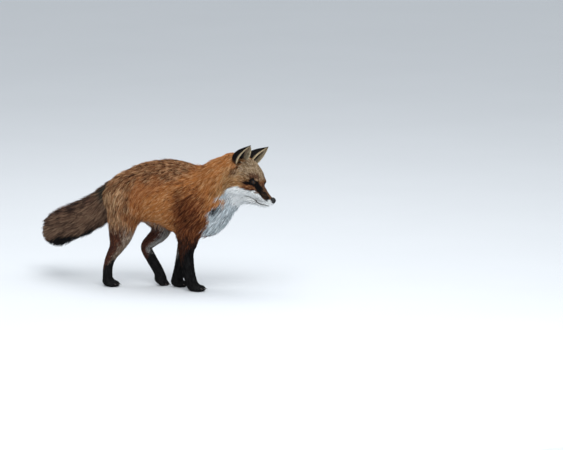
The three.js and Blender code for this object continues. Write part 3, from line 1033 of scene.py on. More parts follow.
@dataclass
class Markings:
    """Where each marking lies on the fox.

    Attributes:
        form: The fox's form.
        mottle: How far a hair takes one marking's colour alone where markings meet.
    """

    form: Form
    mottle: float = 0.7

    def weights(self, points: Array, reading: Reading) -> Array:
        """How much of each marking lies at each point.

        Args:
            points: Points of the fox's frame, near its surface.
            reading: What the form says there.

        Returns:
            One row for each point, and one column for each marking.
        """
        whole = np.zeros((len(points), len(Marking)))
        whole[:, Marking.FLANK] = 1
        canvas = Canvas(points, reading, whole, ripple(points, 34, 3), ripple(points, 13, 4))
        self._lay_trunk(canvas)
        self._lay_neck(canvas)
        self._lay_legs(canvas)
        self._lay_tail(canvas)
        self._lay_face(canvas)
        return whole

    def _lay_trunk(self, canvas: Canvas) -> None:
        """Lays the belly, the rump and the saddle.

        Args:
            canvas: What they are laid on.
        """
        x = canvas.points[:, 0]
        _, _, rise = self.form.trunk.wind(canvas.points)
        trunk = canvas.on(Part.TRUNK)
        body = canvas.on(Part.TRUNK, Part.NECK, Part.FORELEG, Part.HINDLEG)
        belly = ramp(-0.72, -0.95, rise + 0.06 * canvas.uneven)
        canvas.lay(Marking.BELLY, belly * trunk * ramp(40, -40, x))
        canvas.lay(Marking.RUMP, ramp(-165, -240, x + 12 * canvas.uneven) * body)
        edge = 0.3 - 0.15 * ramp(-150, -230, x)
        saddle = ramp(edge, edge + 0.34, rise + 0.1 * canvas.uneven) * ramp(60, -20, x)
        canvas.lay(Marking.BACK, saddle * body * (1 - 0.35 * ramp(-200, -250, x)))

    def _lay_neck(self, canvas: Canvas) -> None:
        """Lays the mane, the shoulder, the bib and its dark spot.

        Args:
            canvas: What they are laid on.
        """
        x, y, z = canvas.points.T
        below_head = ~canvas.on(Part.HEAD)
        diagonal = x + 44 - 1.9 * np.clip(z - 358, -60, 45) + 12 * canvas.uneven
        canvas.lay(Marking.NECK, ramp(-30, 30, diagonal) * below_head)
        shoulder = ramp(90, 40, x) * ramp(-70, -20, x) * ramp(385, 290, z + 14 * canvas.fine)
        canvas.lay(Marking.SHOULDER, shoulder * below_head)
        bib = ramp(-5, 9, x - BIB_EDGE.at(z) + 5 * canvas.fine)
        # The bib's white carries its hue's painted grey-blue shade.
        canvas.lay(Marking.WHITE, bib * below_head)
        spot = BIB_SPOT.share(x, z, canvas.fine) * 0.8
        canvas.lay(Marking.BLACK, spot * below_head * (y < -20))

    def _lay_legs(self, canvas: Canvas) -> None:
        """Lays the stockings and the shanks.

        Args:
            canvas: What they are laid on.
        """
        x, y, z = canvas.points.T
        low = z + 9 * canvas.fine
        for leg in self.form.legs:
            mine = (np.sign(y) == int(leg.side)) | (np.abs(y) < 2)
            _, side, front = leg.limb.wind(canvas.points)
            if leg.limb.part is Part.FORELEG:
                mine = mine & (x > -110)
                canvas.lay(Marking.ELBOW, ramp(215, 165, low) * mine)
                inner = ramp(0.3, -0.1, side * int(leg.side)) * ramp(62, 78, low)
                inner = inner * ramp(135, 105, low) * mine * (leg.side is Side.LEFT)
                canvas.lay(Marking.INNER_LEG, inner)
                top = 118 + 44 * np.clip(front + 0.25, -1, 1)
                canvas.lay(Marking.BLACK, ramp(top + 20, top - 24, low) * mine)
            else:
                mine = mine & (x < -105)
                shank = ramp(225, 165, low) * mine
                canvas.lay(Marking.SHANK_FRONT, shank)
                canvas.lay(Marking.INNER_LEG, shank * ramp(0.1, -0.3, side * int(leg.side)))
                canvas.lay(Marking.SHANK_BACK, shank * ramp(0.7, 0.05, front + 0.2 * canvas.fine))
                top = 76 if leg.side is Side.RIGHT else 100
                tilt = 24 * np.clip(front, -1, 1)
                canvas.lay(Marking.BLACK, ramp(top + 10, top - 10, low - tilt) * mine)

    def _lay_tail(self, canvas: Canvas) -> None:
        """Lays the brush with its gland spot and its dark underside.

        Args:
            canvas: What they are laid on.
        """
        station, side, below = self.form.tail.wind(canvas.points)
        rise = -below / np.maximum(np.hypot(side, below), 1e-6)
        on, uneven = canvas.on(Part.TAIL) * 1.0, canvas.uneven
        canvas.lay(Marking.TAIL, on)
        canvas.lay(Marking.RUMP, on * ramp(0.1, 0.0, station + 0.04 * uneven) * 0.7)
        canvas.lay(Marking.TAIL_TOP, on * ramp(0.35, 0.85, rise + 0.25 * uneven) * 0.85)
        gland = ramp(0.1, 0.03, np.abs(station - 0.05)) * ramp(-0.1, 0.3, rise)
        canvas.lay(Marking.GLAND, on * gland * ramp(0.95, 0.8, rise))
        edge = -0.9 + 0.6 * ramp(0.2, 0.75, station)
        under = ramp(edge + 0.1, edge - 0.1, rise + 0.1 * uneven) * ramp(0.16, 0.3, station)
        canvas.lay(Marking.BLACK, on * under)

    def _lay_face(self, canvas: Canvas) -> None:
        """Lays the ruff, the forehead, the cheeks, the stripe and the lips.

        Args:
            canvas: What they are laid on.
        """
        fine, lay = canvas.fine, canvas.lay
        h = self.form.head.to_head(canvas.points)
        x, y, z = h[:, 0], np.abs(h[:, 1]), h[:, 2]
        neck = canvas.on(Part.NECK)
        on = canvas.on(Part.HEAD, Part.NECK) * ramp(-190, -158, x + 8 * fine)
        on = on * (1 - neck * ramp(-50, -70, z + 5 * fine))
        lay(Marking.RUFF, on)
        lay(Marking.NECK, on * ramp(-125, -160, x) * ramp(24, 44, z + 6 * fine))
        lay(Marking.BRIDGE, on * NAPE.share(x, z, fine) * 0.85)
        top = ramp(8, 34, z + 8 * fine) * ramp(-58, -80, x) * ramp(-165, -135, x + 8 * fine)
        lay(Marking.FOREHEAD, on * top)
        lay(Marking.BLACK, on * EAR_FOOT.share(x, z, fine) * 0.85)
        lay(Marking.CHEEK, on * (ramp(-104, -90, x) * ramp(34, 20, z)))
        lay(Marking.BRIDGE, on * BROW.share(x, z, fine) * ramp(8, 16, y))
        lay(Marking.BRIDGE, on * TEMPLE.share(x, z, fine) * 0.5)
        lay(Marking.BRIDGE, on * ramp(-76, -60, x) * ramp(-14, -4, z))
        edge = CHEEK_EDGE.at(x) + 3 * fine
        white = on * ramp(edge + 4, edge - 4, z)
        # Behind the muzzle the white keeps its hue's painted grey-blue shade; FACE_WHITE, laid over
        # the front, is the white without it.
        lay(Marking.WHITE, white)
        lay(Marking.FACE_WHITE, white * ramp(-150, -115, x))
        foot, crest = STRIPE_FOOT.at(x), STRIPE_CREST.at(x)
        stripe = ramp(foot - 2, foot + 3, z + 2 * fine) * ramp(crest - 3, crest + 2, y + 1.5 * fine)
        stripe *= ramp(27, 21, z) * ramp(-86, -78, x) * ramp(-12, -18, x)
        lay(Marking.BLACK, on * stripe * (1 - 0.15 * ramp(-60, -40, x)))
        back = np.clip((-74 - x) / 22, 0, 1)
        corner = np.hypot((x + 84) / 17, (z - 18 + 9 * back) / (9.5 - 4 * back))
        lay(Marking.BLACK, on * ramp(1.25, 0.85, corner + 0.12 * fine) * ramp(12, 18, y))
        lay(Marking.BLACK, on * ramp(13.5, 11.5, self.form.head.from_eye(h) + fine))
        lips = ramp(1.9, 0.7, np.abs(z - MOUTH.at(x))) * ramp(-88, -76, x)
        lay(Marking.BLACK, on * lips)

    def colours(
        self, points: Array, reading: Reading, dice: Array, chance: Array | None = None
    ) -> Array:
        """The colours of hairs or skin.

        Args:
            points: Places of the roots.
            reading: What the form says there.
            dice: A number from 0 to 1 for each, which picks among the hues' hairs.
            chance: A number from 0 to 1 for each, which picks among the markings there.

        Returns:
            A colour for each point.
        """
        weights = self.weights(points, reading)
        if chance is not None:
            picked = (np.cumsum(weights, axis=1) < chance[:, None]).sum(axis=1)
            own = np.eye(len(Marking))[np.minimum(picked, len(Marking) - 1)]
            weights = weights * (1 - self.mottle) + own * self.mottle
        rows = weights @ PALETTE
        main, dark, pale = rows[:, 0:3], rows[:, 3:6], rows[:, 6:9]
        dark_share, pale_share = rows[:, 9], rows[:, 10]
        colour = np.where((dice < dark_share)[:, None], dark, main)
        colour = np.where((dice > 1 - pale_share)[:, None], pale, colour)
        return colour * self._shadow(points)[:, None]

    def _shadow(self, points: Array) -> Array:
        """How the coat's folds darken it.

        Args:
            points: Places of the roots.

        Returns:
            The share of light that is left at each.
        """
        x, _, z = points.T
        behind_shoulder = np.exp(-(((x + 8 + 0.3 * (z - 270)) / 15) ** 2)) * ramp(205, 235, z)
        behind_shoulder *= ramp(350, 320, z)
        fold = np.exp(-(((x + 180) / 20) ** 2) - ((z - 234) / 15) ** 2)
        haunch = np.exp(-(((x + 208 - 0.15 * (z - 280)) / 12) ** 2)) * ramp(225, 260, z)
        haunch *= ramp(370, 340, z)
        return 1 - 0.26 * behind_shoulder - 0.45 * fold - 0.25 * haunch


# Finishes -----------------------------------------------------------------------------------------


def set_inputs(tree: bpy.types.NodeTree, node: bpy.types.Node, inputs: dict) -> None:
    """Sets the inputs of a node.

    Args:
        tree: The tree that the node is in.
        node: The node.
        inputs: For each input, by its name or number, a value or another node's output.
    """
    for name, value in inputs.items():
        if isinstance(value, bpy.types.NodeSocket):
            tree.links.new(value, node.inputs[name])
        else:
            node.inputs[name].default_value = value


def add_node(
    tree: bpy.types.NodeTree, kind: str, inputs: dict | None = None, **settings: str
) -> bpy.types.Node:
    """Adds a node to a tree.

    Args:
        tree: The tree.
        kind: The node's type.
        inputs: Its inputs, as set_inputs takes them.
        **settings: Its own settings.

    Returns:
        The node.
    """
    node = tree.nodes.new(kind)
    for name, value in settings.items():
        setattr(node, name, value)
    set_inputs(tree, node, inputs or {})
    return node


@dataclass(frozen=True)
class Finish:
    """A material made of nodes.

    Attributes:
        name: Its name.
        colour: Its colour, where it doesn't follow the markings.
        follows: Whether its colour follows the piece's own tint.
        roughness: How rough it is.
        specular: How much light it reflects.
        grain: The size of its grain, in cells to a metre.
        relief: How strong its grain's relief is.
        uneven: How much its colour changes with the grain.
    """

    name: str
    colour: tuple[int, int, int] = (128, 128, 128)
    follows: bool = False
    roughness: float = 0.7
    specular: float = 0.3
    grain: float = 400.0
    relief: float = 0.2
    uneven: float = 0.25

    def make(self) -> bpy.types.Material:
        """Builds the material's nodes.

        Returns:
            The material.
        """
        material = bpy.data.materials.new(self.name)
        material.use_nodes = True
        tree = material.node_tree
        place = add_node(tree, "ShaderNodeTexCoord").outputs["Object"]
        grain = {"Vector": place, "Scale": self.grain, "Detail": 4.0}
        noise = add_node(tree, "ShaderNodeTexNoise", grain).outputs["Fac"]
        lighter = {
            "Value": noise, "From Min": 0.25, "From Max": 0.75, "To Min": 1 - self.uneven,
            "To Max": 1 + self.uneven,
        }
        lightness = add_node(tree, "ShaderNodeMapRange", lighter).outputs["Result"]
        colour = shade(*self.colour)
        if self.follows:
            own = add_node(tree, "ShaderNodeAttribute", attribute_name="tint")
            colour = own.outputs["Color"]
        tinted = {0: colour, "Scale": lightness}
        tint = add_node(tree, "ShaderNodeVectorMath", tinted, operation="SCALE")
        surface = {
            "Base Color": tint.outputs["Vector"], "Roughness": self.roughness,
            "Specular IOR Level": self.specular,
        }
        if self.relief > 0:
            height = {"Height": noise, "Strength": self.relief, "Distance": MM}
            surface["Normal"] = add_node(tree, "ShaderNodeBump", height).outputs["Normal"]
        set_inputs(tree, tree.nodes["Principled BSDF"], surface)
        return material


# Meshes -------------------------------------------------------------------------------------------


class Slot(Enum):
    """A slot that a piece's finish goes into."""

    FLANK = "coat_flank"
    NECK = "coat_neck"
    TAIL = "coat_tail"
    DARK = "coat_dark"
    THIGH = "coat_thigh"
    FACE = "coat_face"
    EAR = "coat_ear"
    EYE = "eye"
    NOSE = "nose"


def make_object(
    name: str, vertices: Array, faces: Array, material: bpy.types.Material,
    tint: Array | None = None, uv: Array | None = None, normals: Array | None = None,
) -> bpy.types.Object:
    """A mesh as an object of the scene.

    Args:
        name: Its name.
        vertices: Its vertices, in the fox's frame.
        faces: Its faces, all with the same number of corners.
        material: Its material.
        tint: A colour for each vertex.
        uv: A place on the unwrap for each vertex.
        normals: The way in which each vertex is shaded, where it isn't its faces' own.

    Returns:
        The object, linked to the scene.
    """
    mesh = bpy.data.meshes.new(name)
    mesh.vertices.add(len(vertices))
    mesh.vertices.foreach_set("co", to_metres(vertices).astype(np.float32).ravel())
    sides = faces.shape[1]
    mesh.loops.add(faces.size)
    mesh.loops.foreach_set("vertex_index", faces.astype(np.int32).ravel())
    mesh.polygons.add(len(faces))
    mesh.polygons.foreach_set("loop_start", np.arange(0, faces.size, sides, dtype=np.int32))
    mesh.polygons.foreach_set("loop_total", np.full(len(faces), sides, np.int32))
    mesh.polygons.foreach_set("use_smooth", np.full(len(faces), True))
    mesh.materials.append(material)
    if tint is not None:
        layer = mesh.color_attributes.new("tint", "FLOAT_COLOR", "POINT")
        full = np.ones((len(vertices), 4), np.float32)
        full[:, :3] = tint
        layer.data.foreach_set("color", full.ravel())
    if uv is not None:
        layer = mesh.uv_layers.new(name="OFBake")
        layer.data.foreach_set("uv", uv[faces.ravel()].astype(np.float32).ravel())
    mesh.update(calc_edges=True)
    mesh.validate()
    if normals is not None:
        mesh.normals_split_custom_set_from_vertices(normals)
    piece = bpy.data.objects.new(name, mesh)
    bpy.context.scene.collection.objects.link(piece)
    return piece


def place_piece(piece: bpy.types.Object, slot: Slot, *nodes: str) -> None:
    """Has a finished piece ride on the fox, and logs it.

    Args:
        piece: The piece.
        slot: The slot of its finish; not used.
        *nodes: The nodes that it stands for.
    """
    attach(piece, "root")
    if nodes:
        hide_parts(*nodes)
    log.info("%s: %d faces", piece.name, len(piece.data.polygons))


# Skin ---------------------------------------------------------------------------------------------

UNDER_FUR = 0.55  # how much of its marking's brightness the skin has


@dataclass
class Skin:
    """The one skin under the coat.

    Attributes:
        form: The fox's form.
        markings: Its markings.
        cell: The size of the net's cells, away from the head.
        closeness: How the cells are drawn together at the head.
        nodes: The nodes that the skin stands for.
        vertices: The skin's vertices, once it is built.
        faces: Its faces, once it is built.
    """

    form: Form
    markings: Markings
    cell: float = 4.6
    closeness: Closeness = Closeness((196, -18, 330), 0.34, 150)
    nodes: tuple[str, ...] = ("trunk", "neck", "tail", "head", "lower_jaw") + tuple(
        f"{piece}_{side}"
        for end in ("fore", "hind")
        for side in ("left", "right")
        for piece in (f"{end}leg_upper", f"{end}leg_lower", f"paw_{end}")
    )
    vertices: Array = field(default_factory=lambda: np.zeros((0, 3)))
    faces: Array = field(default_factory=lambda: np.zeros((0, 4), int))

    def value(self, points: Array) -> tuple[Array, Array]:
        """How far points are from the skin.

        Args:
            points: Points of the fox's frame.

        Returns:
            Their distances, below zero inside, and the ways in which these grow.
        """
        reading = self.form.read_in_turn(points)
        value = reading.distance + reading.depth + self._groove(points)
        value = np.maximum(value, 0.4 - points[:, 2])
        return value, reading.slope

    def _groove(self, points: Array) -> Array:
        """How far the skin is drawn in along the mouth.

        Args:
            points: Points of the fox's frame.

        Returns:
            A depth for each.
        """
        h = self.form.head.to_head(points)
        near = (np.abs(h[:, 0] + 45) < 60) & (np.abs(h[:, 2] + 30) < 14)
        drawn = np.zeros(len(points))
        x, z = h[near, 0], h[near, 2]
        fade = ramp(-96, -80, x) * ramp(-13, -22, x)
        drawn[near] = 2.4 * np.exp(-(((z - MOUTH.at(x)) / 1.5) ** 2)) * fade
        return drawn

    def build(self) -> bpy.types.Object:
        """Makes the skin.

        Returns:
            The skin's object.
        """
        low = np.array([-612.0, -150.0, -12.0]) - self.closeness.at
        high = np.array([312.0, 250.0, 500.0]) - self.closeness.at
        pull = (1 - self.closeness.finest) * self.closeness.span
        vertices, faces = surface_net(
            lambda p: self.value(p)[0], low - pull, high + pull, self.cell, self.closeness
        )
        self.vertices = settle(vertices, self.value)
        self.faces = faces
        reading = self.form.read_in_turn(self.vertices)
        dice = np.full(len(self.vertices), 0.5)
        tint = self.markings.colours(self.vertices, reading, dice) * UNDER_FUR
        material = Finish("skin", follows=True, roughness=0.8, grain=900, relief=0.5).make()
        piece = make_object("skin", self.vertices, faces, material, tint)
        place_piece(piece, Slot.FLANK, *self.nodes)
        return piece


# Coat ---------------------------------------------------------------------------------------------

TAPER = Profile((0, 0.3, 0.7, 1), (0.7, 1.0, 0.72, 0))  # a lock's width, from root to tip
FADE = Profile((0, 0.45, 1), (0, 0.85, 1))  # its colour, from that of its root to that of its tip
ROOT_SHADE = 0.42  # how bright a lock's root is beside its tip
FUR = Finish("fur", follows=True, roughness=0.75, specular=0.07, grain=700, relief=0.0)


@dataclass
class Locks:
    """Many thin locks of hair, each a tapered three-sided spindle along its own path.

    Attributes:
        paths: For each lock, its points from root to tip.
        outward: For each lock, the way out of the skin at its root.
        width: For each lock, how wide it is at its widest.
        tint: For each lock, the colour at its tip.
        root_tint: For each lock, the colour at its root.
        uv: For each lock, the place of its root on the unwrap.
        roll: For each lock, how far it is rolled about its path.
        flatness: How thick a lock is beside its width.
        roundness: How round it is shaded.
        patch: How wide its patch on the unwrap is.
    """

    paths: Array
    outward: Array
    width: Array
    tint: Array
    root_tint: Array
    uv: Array
    roll: Array
    flatness: float = 0.42
    roundness: float = 0.5
    patch: float = 0.003

    def at(self, rows: Array) -> Locks:
        """Some of the locks."""
        return Locks(*(getattr(self, own.name)[rows] for own in fields(self)[:7]))

    def mesh(self) -> tuple[Array, ...]:
        """The locks as one mesh.

        Returns:
            Vertices, faces, tints, places on the unwrap and the ways in which they are shaded.
        """
        count, rings = self.paths.shape[0], self.paths.shape[1] - 1
        along = unit(self.paths[:, 1:] - self.paths[:, :-1])
        along = np.concatenate([along, along[:, -1:]], 1)[:, : rings + 1]
        across = unit(np.cross(self.outward[:, None, :], along))
        out = np.cross(along, across)
        cos, sin = np.cos(self.roll)[:, None, None], np.sin(self.roll)[:, None, None]
        across, out = across * cos + out * sin, out * cos - across * sin
        share = np.arange(rings) / rings
        half = self.width[:, None] * TAPER.at(share) / 2
        per = 3 * rings + 1
        vertices = np.zeros((count, per, 3))
        normals = np.tile(self.outward[:, None], (1, per, 1))
        tint = np.zeros((count, per, 3))
        uv = np.zeros((count, per, 2))
        for r in range(rings):
            w = half[:, r, None]
            middle = self.paths[:, r]
            vertices[:, 3 * r] = middle - across[:, r] * w
            vertices[:, 3 * r + 1] = middle + across[:, r] * w
            vertices[:, 3 * r + 2] = middle + out[:, r] * w * 2 * self.flatness
            normals[:, 3 * r] -= across[:, r] * self.roundness
            normals[:, 3 * r + 1] += across[:, r] * self.roundness
            normals[:, 3 * r + 2] += out[:, r] * self.roundness
            fade = FADE.at(share[r])
            tint[:, 3 * r : 3 * r + 3] = (self.root_tint * (1 - fade) + self.tint * fade)[:, None]
            step = (share[r] - 0.5) * self.patch
            for n, sideways in enumerate((-0.5, 0.5, 0.15)):
                uv[:, 3 * r + n] = self.uv + [sideways * self.patch, step]
        vertices[:, -1] = self.paths[:, -1]
        tint[:, -1] = self.tint
        uv[:, -1] = self.uv + [0, 0.5 * self.patch]
        faces = [[0, 1, 2]]
        for r in range(rings - 1):
            for a, b in ((0, 1), (1, 2), (2, 0)):
                low_a, low_b = 3 * r + a, 3 * r + b
                faces += [[low_a, low_b + 3, low_b], [low_a, low_a + 3, low_b + 3]]
        top = 3 * (rings - 1)
        faces += [[top + a, 3 * rings, top + b] for a, b in ((0, 1), (1, 2), (2, 0))]
        pattern = np.array(faces)[:, ::-1]
        every = (np.arange(count) * per)[:, None, None] + pattern
        return (
            vertices.reshape(-1, 3), every.reshape(-1, 3), tint.reshape(-1, 3), uv.reshape(-1, 2),
            unit(normals.reshape(-1, 3)),
        )


@dataclass
class Patch:
    """How the locks of one stretch of the coat are made.

    Attributes:
        name: The name of its pieces.
        slot: The slot of their finish.
        part: The part that it covers.
        count: How many locks it has.
        rings: How many rings each lock has.
        length: A lock's length, as a share of the coat's depth, added to a length of its own.
        width: A lock's width, added to a share of its length.
        lift: How far the locks' tips stand towards the form.
        gather: How far tips are drawn to their tuft's middle.
        tuft: How wide a tuft is.
        stray: How many locks stand off from the rest.
        wave: How far the lie of the coat wanders.
        droop: How far it hangs down.
        grizzle: How many locks share their shade with their tuft.
    """

    name: str
    slot: Slot
    part: Part
    count: int
    rings: int = 2
    length: tuple[float, float] = (3.0, 2.2)
    width: tuple[float, float] = (0.4, 0.033)
    lift: tuple[float, float] = (0.35, 1.05)
    gather: float = 0.25
    tuft: float = 7.0
    stray: float = 0.05
    wave: float = 0.05
    droop: float = 0.0
    grizzle: float = 0.5


@dataclass
class Coat:
    """The fur, led along the lie of the coat over the whole skin.

    Attributes:
        form: The fox's form.
        markings: Its markings.
        skin: Its skin, already built.
        most: How many triangles a piece may have.
        patches: The stretches of the coat.
    """

    form: Form
    markings: Markings
    skin: Skin
    most: int = 195000
    patches: tuple[Patch, ...] = (
        Patch("coat_trunk", Slot.FLANK, Part.TRUNK, 42000, gather=0.15, droop=0.9),
        Patch("coat_neck", Slot.NECK, Part.NECK, 22000, gather=0.2, tuft=9, droop=0.5),
        Patch("coat_tail", Slot.TAIL, Part.TAIL, 20000, gather=0.4, tuft=11, stray=0.2),
        Patch("coat_forelegs", Slot.DARK, Part.FORELEG, 11000, gather=0.2, tuft=5),
        Patch("coat_hindlegs", Slot.THIGH, Part.HINDLEG, 13000, gather=0.2, tuft=5),
        Patch("coat_paws", Slot.DARK, Part.PAW, 3500, 2, (3.0, 1.6), gather=0.1, tuft=3),
        Patch("coat_head", Slot.FACE, Part.HEAD, 28000, gather=0.2, tuft=5, stray=0.02),
    )

    def _roots(self, patch: Patch, rng: np.random.Generator) -> tuple[Array, Reading]:
        """Chooses where the locks of a patch grow.

        Args:
            patch: The patch.
            rng: What the choice is drawn from.

        Returns:
            The roots, and what the form says at each.
        """
        corners = self.skin.vertices[self.skin.faces]
        triangles = np.concatenate([corners[:, [0, 1, 2]], corners[:, [0, 2, 3]]])
        owners = np.tile(self.vertex_part[self.skin.faces[:, 0]], 2)
        depth = np.tile(self.vertex_depth[self.skin.faces[:, 0]], 2)
        edges = np.cross(triangles[:, 1] - triangles[:, 0], triangles[:, 2] - triangles[:, 0])
        area = np.linalg.norm(edges, axis=1) / 2
        weight = area * (owners == int(patch.part)) / (1.5 + depth) ** 0.75
        pick = rng.choice(len(area), patch.count, p=weight / weight.sum())
        a, b = rng.random(patch.count), rng.random(patch.count)
        flip = a + b > 1
        a, b = np.where(flip, 1 - a, a), np.where(flip, 1 - b, b)
        t = triangles[pick]
        roots = t[:, 0] + a[:, None] * (t[:, 1] - t[:, 0]) + b[:, None] * (t[:, 2] - t[:, 0])
        return roots, self.form.read_in_turn(roots)

    def _keep(self, roots: Array) -> Array:
        """Which roots grow hair.

        Args:
            roots: Places on the skin.

        Returns:
            True for each that isn't on the eyes, the nose, the lips or the soles.
        """
        h = self.form.head.to_head(roots)
        off_eye = self.form.head.from_eye(h) > 9.9
        off_nose = np.linalg.norm((h - [-6, 0, -4]) / [9, 10, 10], axis=1) > 1.0
        x, y, z = h.T
        lips = (np.abs(z - MOUTH.at(x)) < 1.0) & (x > -84) & (np.abs(y) < 30)
        return off_eye & off_nose & (roots[:, 2] > 1.5) & ~lips

    def _lead(
        self, patch: Patch, roots: Array, reading: Reading, middles: Array, shared: Array,
        rng: np.random.Generator,
    ) -> tuple[Array, Array]:
        """Leads each lock from its root along the lie of the coat.

        Args:
            patch: The patch.
            roots: Where the locks grow.
            reading: What the form says there.
            middles: The middle of each lock's tuft.
            shared: A chance from 0 to 1 that the locks of one tuft share.
            rng: What chance is drawn from.

        Returns:
            The locks' paths and their lengths.
        """
        count = len(roots)
        length = (patch.length[0] + patch.length[1] * reading.depth) * rng.uniform(0.7, 1.2, count)
        low, high = patch.lift
        lift = low + (high - low) * (0.45 * rng.random(count) + 0.55 * shared)
        strays = rng.random(count) < patch.stray
        lift = np.where(strays, lift * 1.3 + 0.15, lift)
        length = np.where(strays, length * 1.25, length)
        sway = np.stack([ripple(roots, 46, s) for s in (11, 12, 13)], 1) * patch.wave
        sway += rng.normal(size=(count, 3)) * 0.07 - [0, 0, patch.droop]
        paths = [roots]
        here, now = roots, reading
        step = length / patch.rings
        for ring in range(1, patch.rings + 1):
            way = now.lie + sway
            way = unit(way - dot(way, unit(now.slope))[:, None] * unit(now.slope))
            moved = here + way * step[:, None]
            now = self.form.read_in_turn(moved)
            share = ring / patch.rings
            rise = lift * (1 - (1 - share) ** 1.7)
            goal = -reading.depth * (1 - rise)
            push = np.clip(goal - now.distance, -step * 0.8, step * 0.8)
            here = moved + unit(now.slope) * push[:, None]
            paths.append(here)
        paths = self._gathered(patch, np.stack(paths, 1), middles)
        over = np.where(strays, 5.0, 1.5)
        for ring in range(1, patch.rings + 1):
            now = self.form.read_in_turn(paths[:, ring])
            out = np.maximum(now.distance - over, 0)
            paths[:, ring] -= unit(now.slope) * out[:, None]
        return paths, length

    @staticmethod
    def _tufts(wide: float, roots: Array, rng: np.random.Generator) -> tuple[Array, Array]:
        """Gathers locks into tufts.

        Args:
            wide: How wide a tuft is.
            roots: Where the locks grow.
            rng: What the tufts are drawn from.

        Returns:
            The number of each lock's tuft, and the tuft's middle.
        """
        count = max(len(roots) // max(int(wide**1.3), 2), 8)
        middles = roots[rng.choice(len(roots), count, replace=False)]
        tree = KDTree(count)
        for i, middle in enumerate(middles):
            tree.insert(middle, i)
        tree.balance()
        nearest = np.array([tree.find(root)[1] for root in roots])
        return nearest, middles[nearest]

    @staticmethod
    def _gathered(patch: Patch, paths: Array, middles: Array) -> Array:
        """Draws the tips of locks towards the middle of their tuft.

        Args:
            patch: The patch.
            paths: The locks' paths.
            middles: The middle of each lock's tuft.

        Returns:
            The drawn paths.
        """
        roots = paths[:, 0]
        offset = middles - roots
        far = np.linalg.norm(offset, axis=1, keepdims=True)
        offset = offset * np.minimum(1.0, patch.tuft / np.maximum(far, 1e-6))
        share = np.linspace(0, 1, paths.shape[1])
        return paths + patch.gather * offset[:, None] * (share**1.5)[None, :, None]

    def _unwrap(self, patch: Patch, roots: Array) -> Array:
        """Places roots on an unwrap of the skin's own shape.

        Args:
            patch: The patch.
            roots: Where its locks grow.

        Returns:
            Their places on the unwrap, from 0 to 1.
        """
        if patch.part is Part.HEAD:
            h = self.form.head.to_head(roots)
            turn = np.arctan2(h[:, 1], h[:, 2] + 6) / (2 * math.pi) + 0.5
            return np.stack([np.clip(h[:, 0] / -190, 0, 1), turn], 1) * 0.98 + 0.01
        limbs = {
            Part.TRUNK: [self.form.trunk], Part.NECK: [self.form.neck], Part.TAIL: [self.form.tail],
            Part.FORELEG: [leg.limb for leg in self.form.legs[:2]],
            Part.HINDLEG: [leg.limb for leg in self.form.legs[2:]],
            Part.PAW: [leg.limb for leg in self.form.legs],
        }[patch.part]
        best, uv = np.full(len(roots), np.inf), np.zeros((len(roots), 2))
        for n, limb in enumerate(limbs):
            if patch.part is Part.PAW:
                q = roots - self.form.legs[n].paw.middle
                far = np.linalg.norm(q, axis=1)
                place = np.stack([q[:, 0] / 100 + 0.5, np.arctan2(q[:, 1], q[:, 2]) / 6.3 + 0.5], 1)
            else:
                station, side, rise = limb.wind(roots)
                far = np.abs(roots - limb.start.mean(0))[:, 1]
                place = np.stack([station, np.arctan2(side, rise) / (2 * math.pi) + 0.5], 1)
            place = np.clip(place, 0, 1) * [0.96, 0.96 / len(limbs)]
            place = place + [0.02, 0.02 + n / len(limbs)]
            closer = far < best
            best = np.where(closer, far, best)
            uv = np.where(closer[:, None], place, uv)
        return uv

    def _grow(self, patch: Patch, seed: int) -> Locks:
        """Grows the locks of a patch.

        Args:
            patch: The patch.
            seed: What chance is drawn from.

        Returns:
            The locks, from the rearmost to the foremost.
        """
        rng = np.random.default_rng(seed)
        roots, now = self._roots(patch, rng)
        keep = self._keep(roots)
        roots, now = roots[keep], now.at(keep)
        tuft, middles = self._tufts(patch.tuft, roots, rng)
        shared = rng.random(len(roots))[tuft]
        paths, length = self._lead(patch, roots, now, middles, shared, rng)
        paths[:, :, 2] = np.maximum(paths[:, :, 2], 0.6)
        width = (patch.width[0] + patch.width[1] * length) * rng.uniform(0.7, 1.3, len(roots))
        alike = rng.random(len(roots)) < patch.grizzle
        small, _ = self._tufts(patch.tuft / 2, roots, rng)
        dice = np.where(alike, rng.random(len(roots))[small], rng.random(len(roots)))
        tint = self.markings.colours(roots, now, dice, rng.random(len(roots)))
        tint = tint * rng.uniform(0.88, 1.12, (len(roots), 1))
        uv = self._unwrap(patch, roots)
        roll = rng.normal(0, 0.35, len(roots))
        locks = Locks(paths, unit(now.slope), width, tint, tint * ROOT_SHADE, uv, roll)
        return locks.at(np.argsort(roots[:, 0], kind="stable"))

    def build(self) -> list[bpy.types.Object]:
        """Makes every piece of the coat.

        Returns:
            The pieces.
        """
        reading = self.form.read_in_turn(self.skin.vertices)
        self.vertex_part, self.vertex_depth = reading.part, reading.depth
        material = FUR.make()
        pieces = []
        for number, patch in enumerate(self.patches):
            locks = self._grow(patch, 100 + number)
            count = len(locks.paths)
            needed = math.ceil(count * (6 * (patch.rings - 1) + 4) / self.most)
            for n, rows in enumerate(np.array_split(range(count), needed)):
                vertices, faces, *looks = locks.at(rows).mesh()
                piece = make_object(f"{patch.name}_{n + 1}", vertices, faces, material, *looks)
                place_piece(piece, patch.slot)
                pieces.append(piece)
        return pieces


# Ears, eyes and nose ------------------------------------------------------------------------------

EYEBALL = Finish("eyeball", follows=True, roughness=0.1, specular=0.28, relief=0.0, uneven=0.1)
LID_SKIN = Finish(
    "lid_skin", (13, 10, 10), roughness=0.6, specular=0.15, grain=1500, relief=0.3
)
NOSE_LEATHER = Finish(
    "nose_leather", (13, 13, 15), roughness=0.38, specular=0.3, grain=1600, relief=0.4, uneven=0.2
)


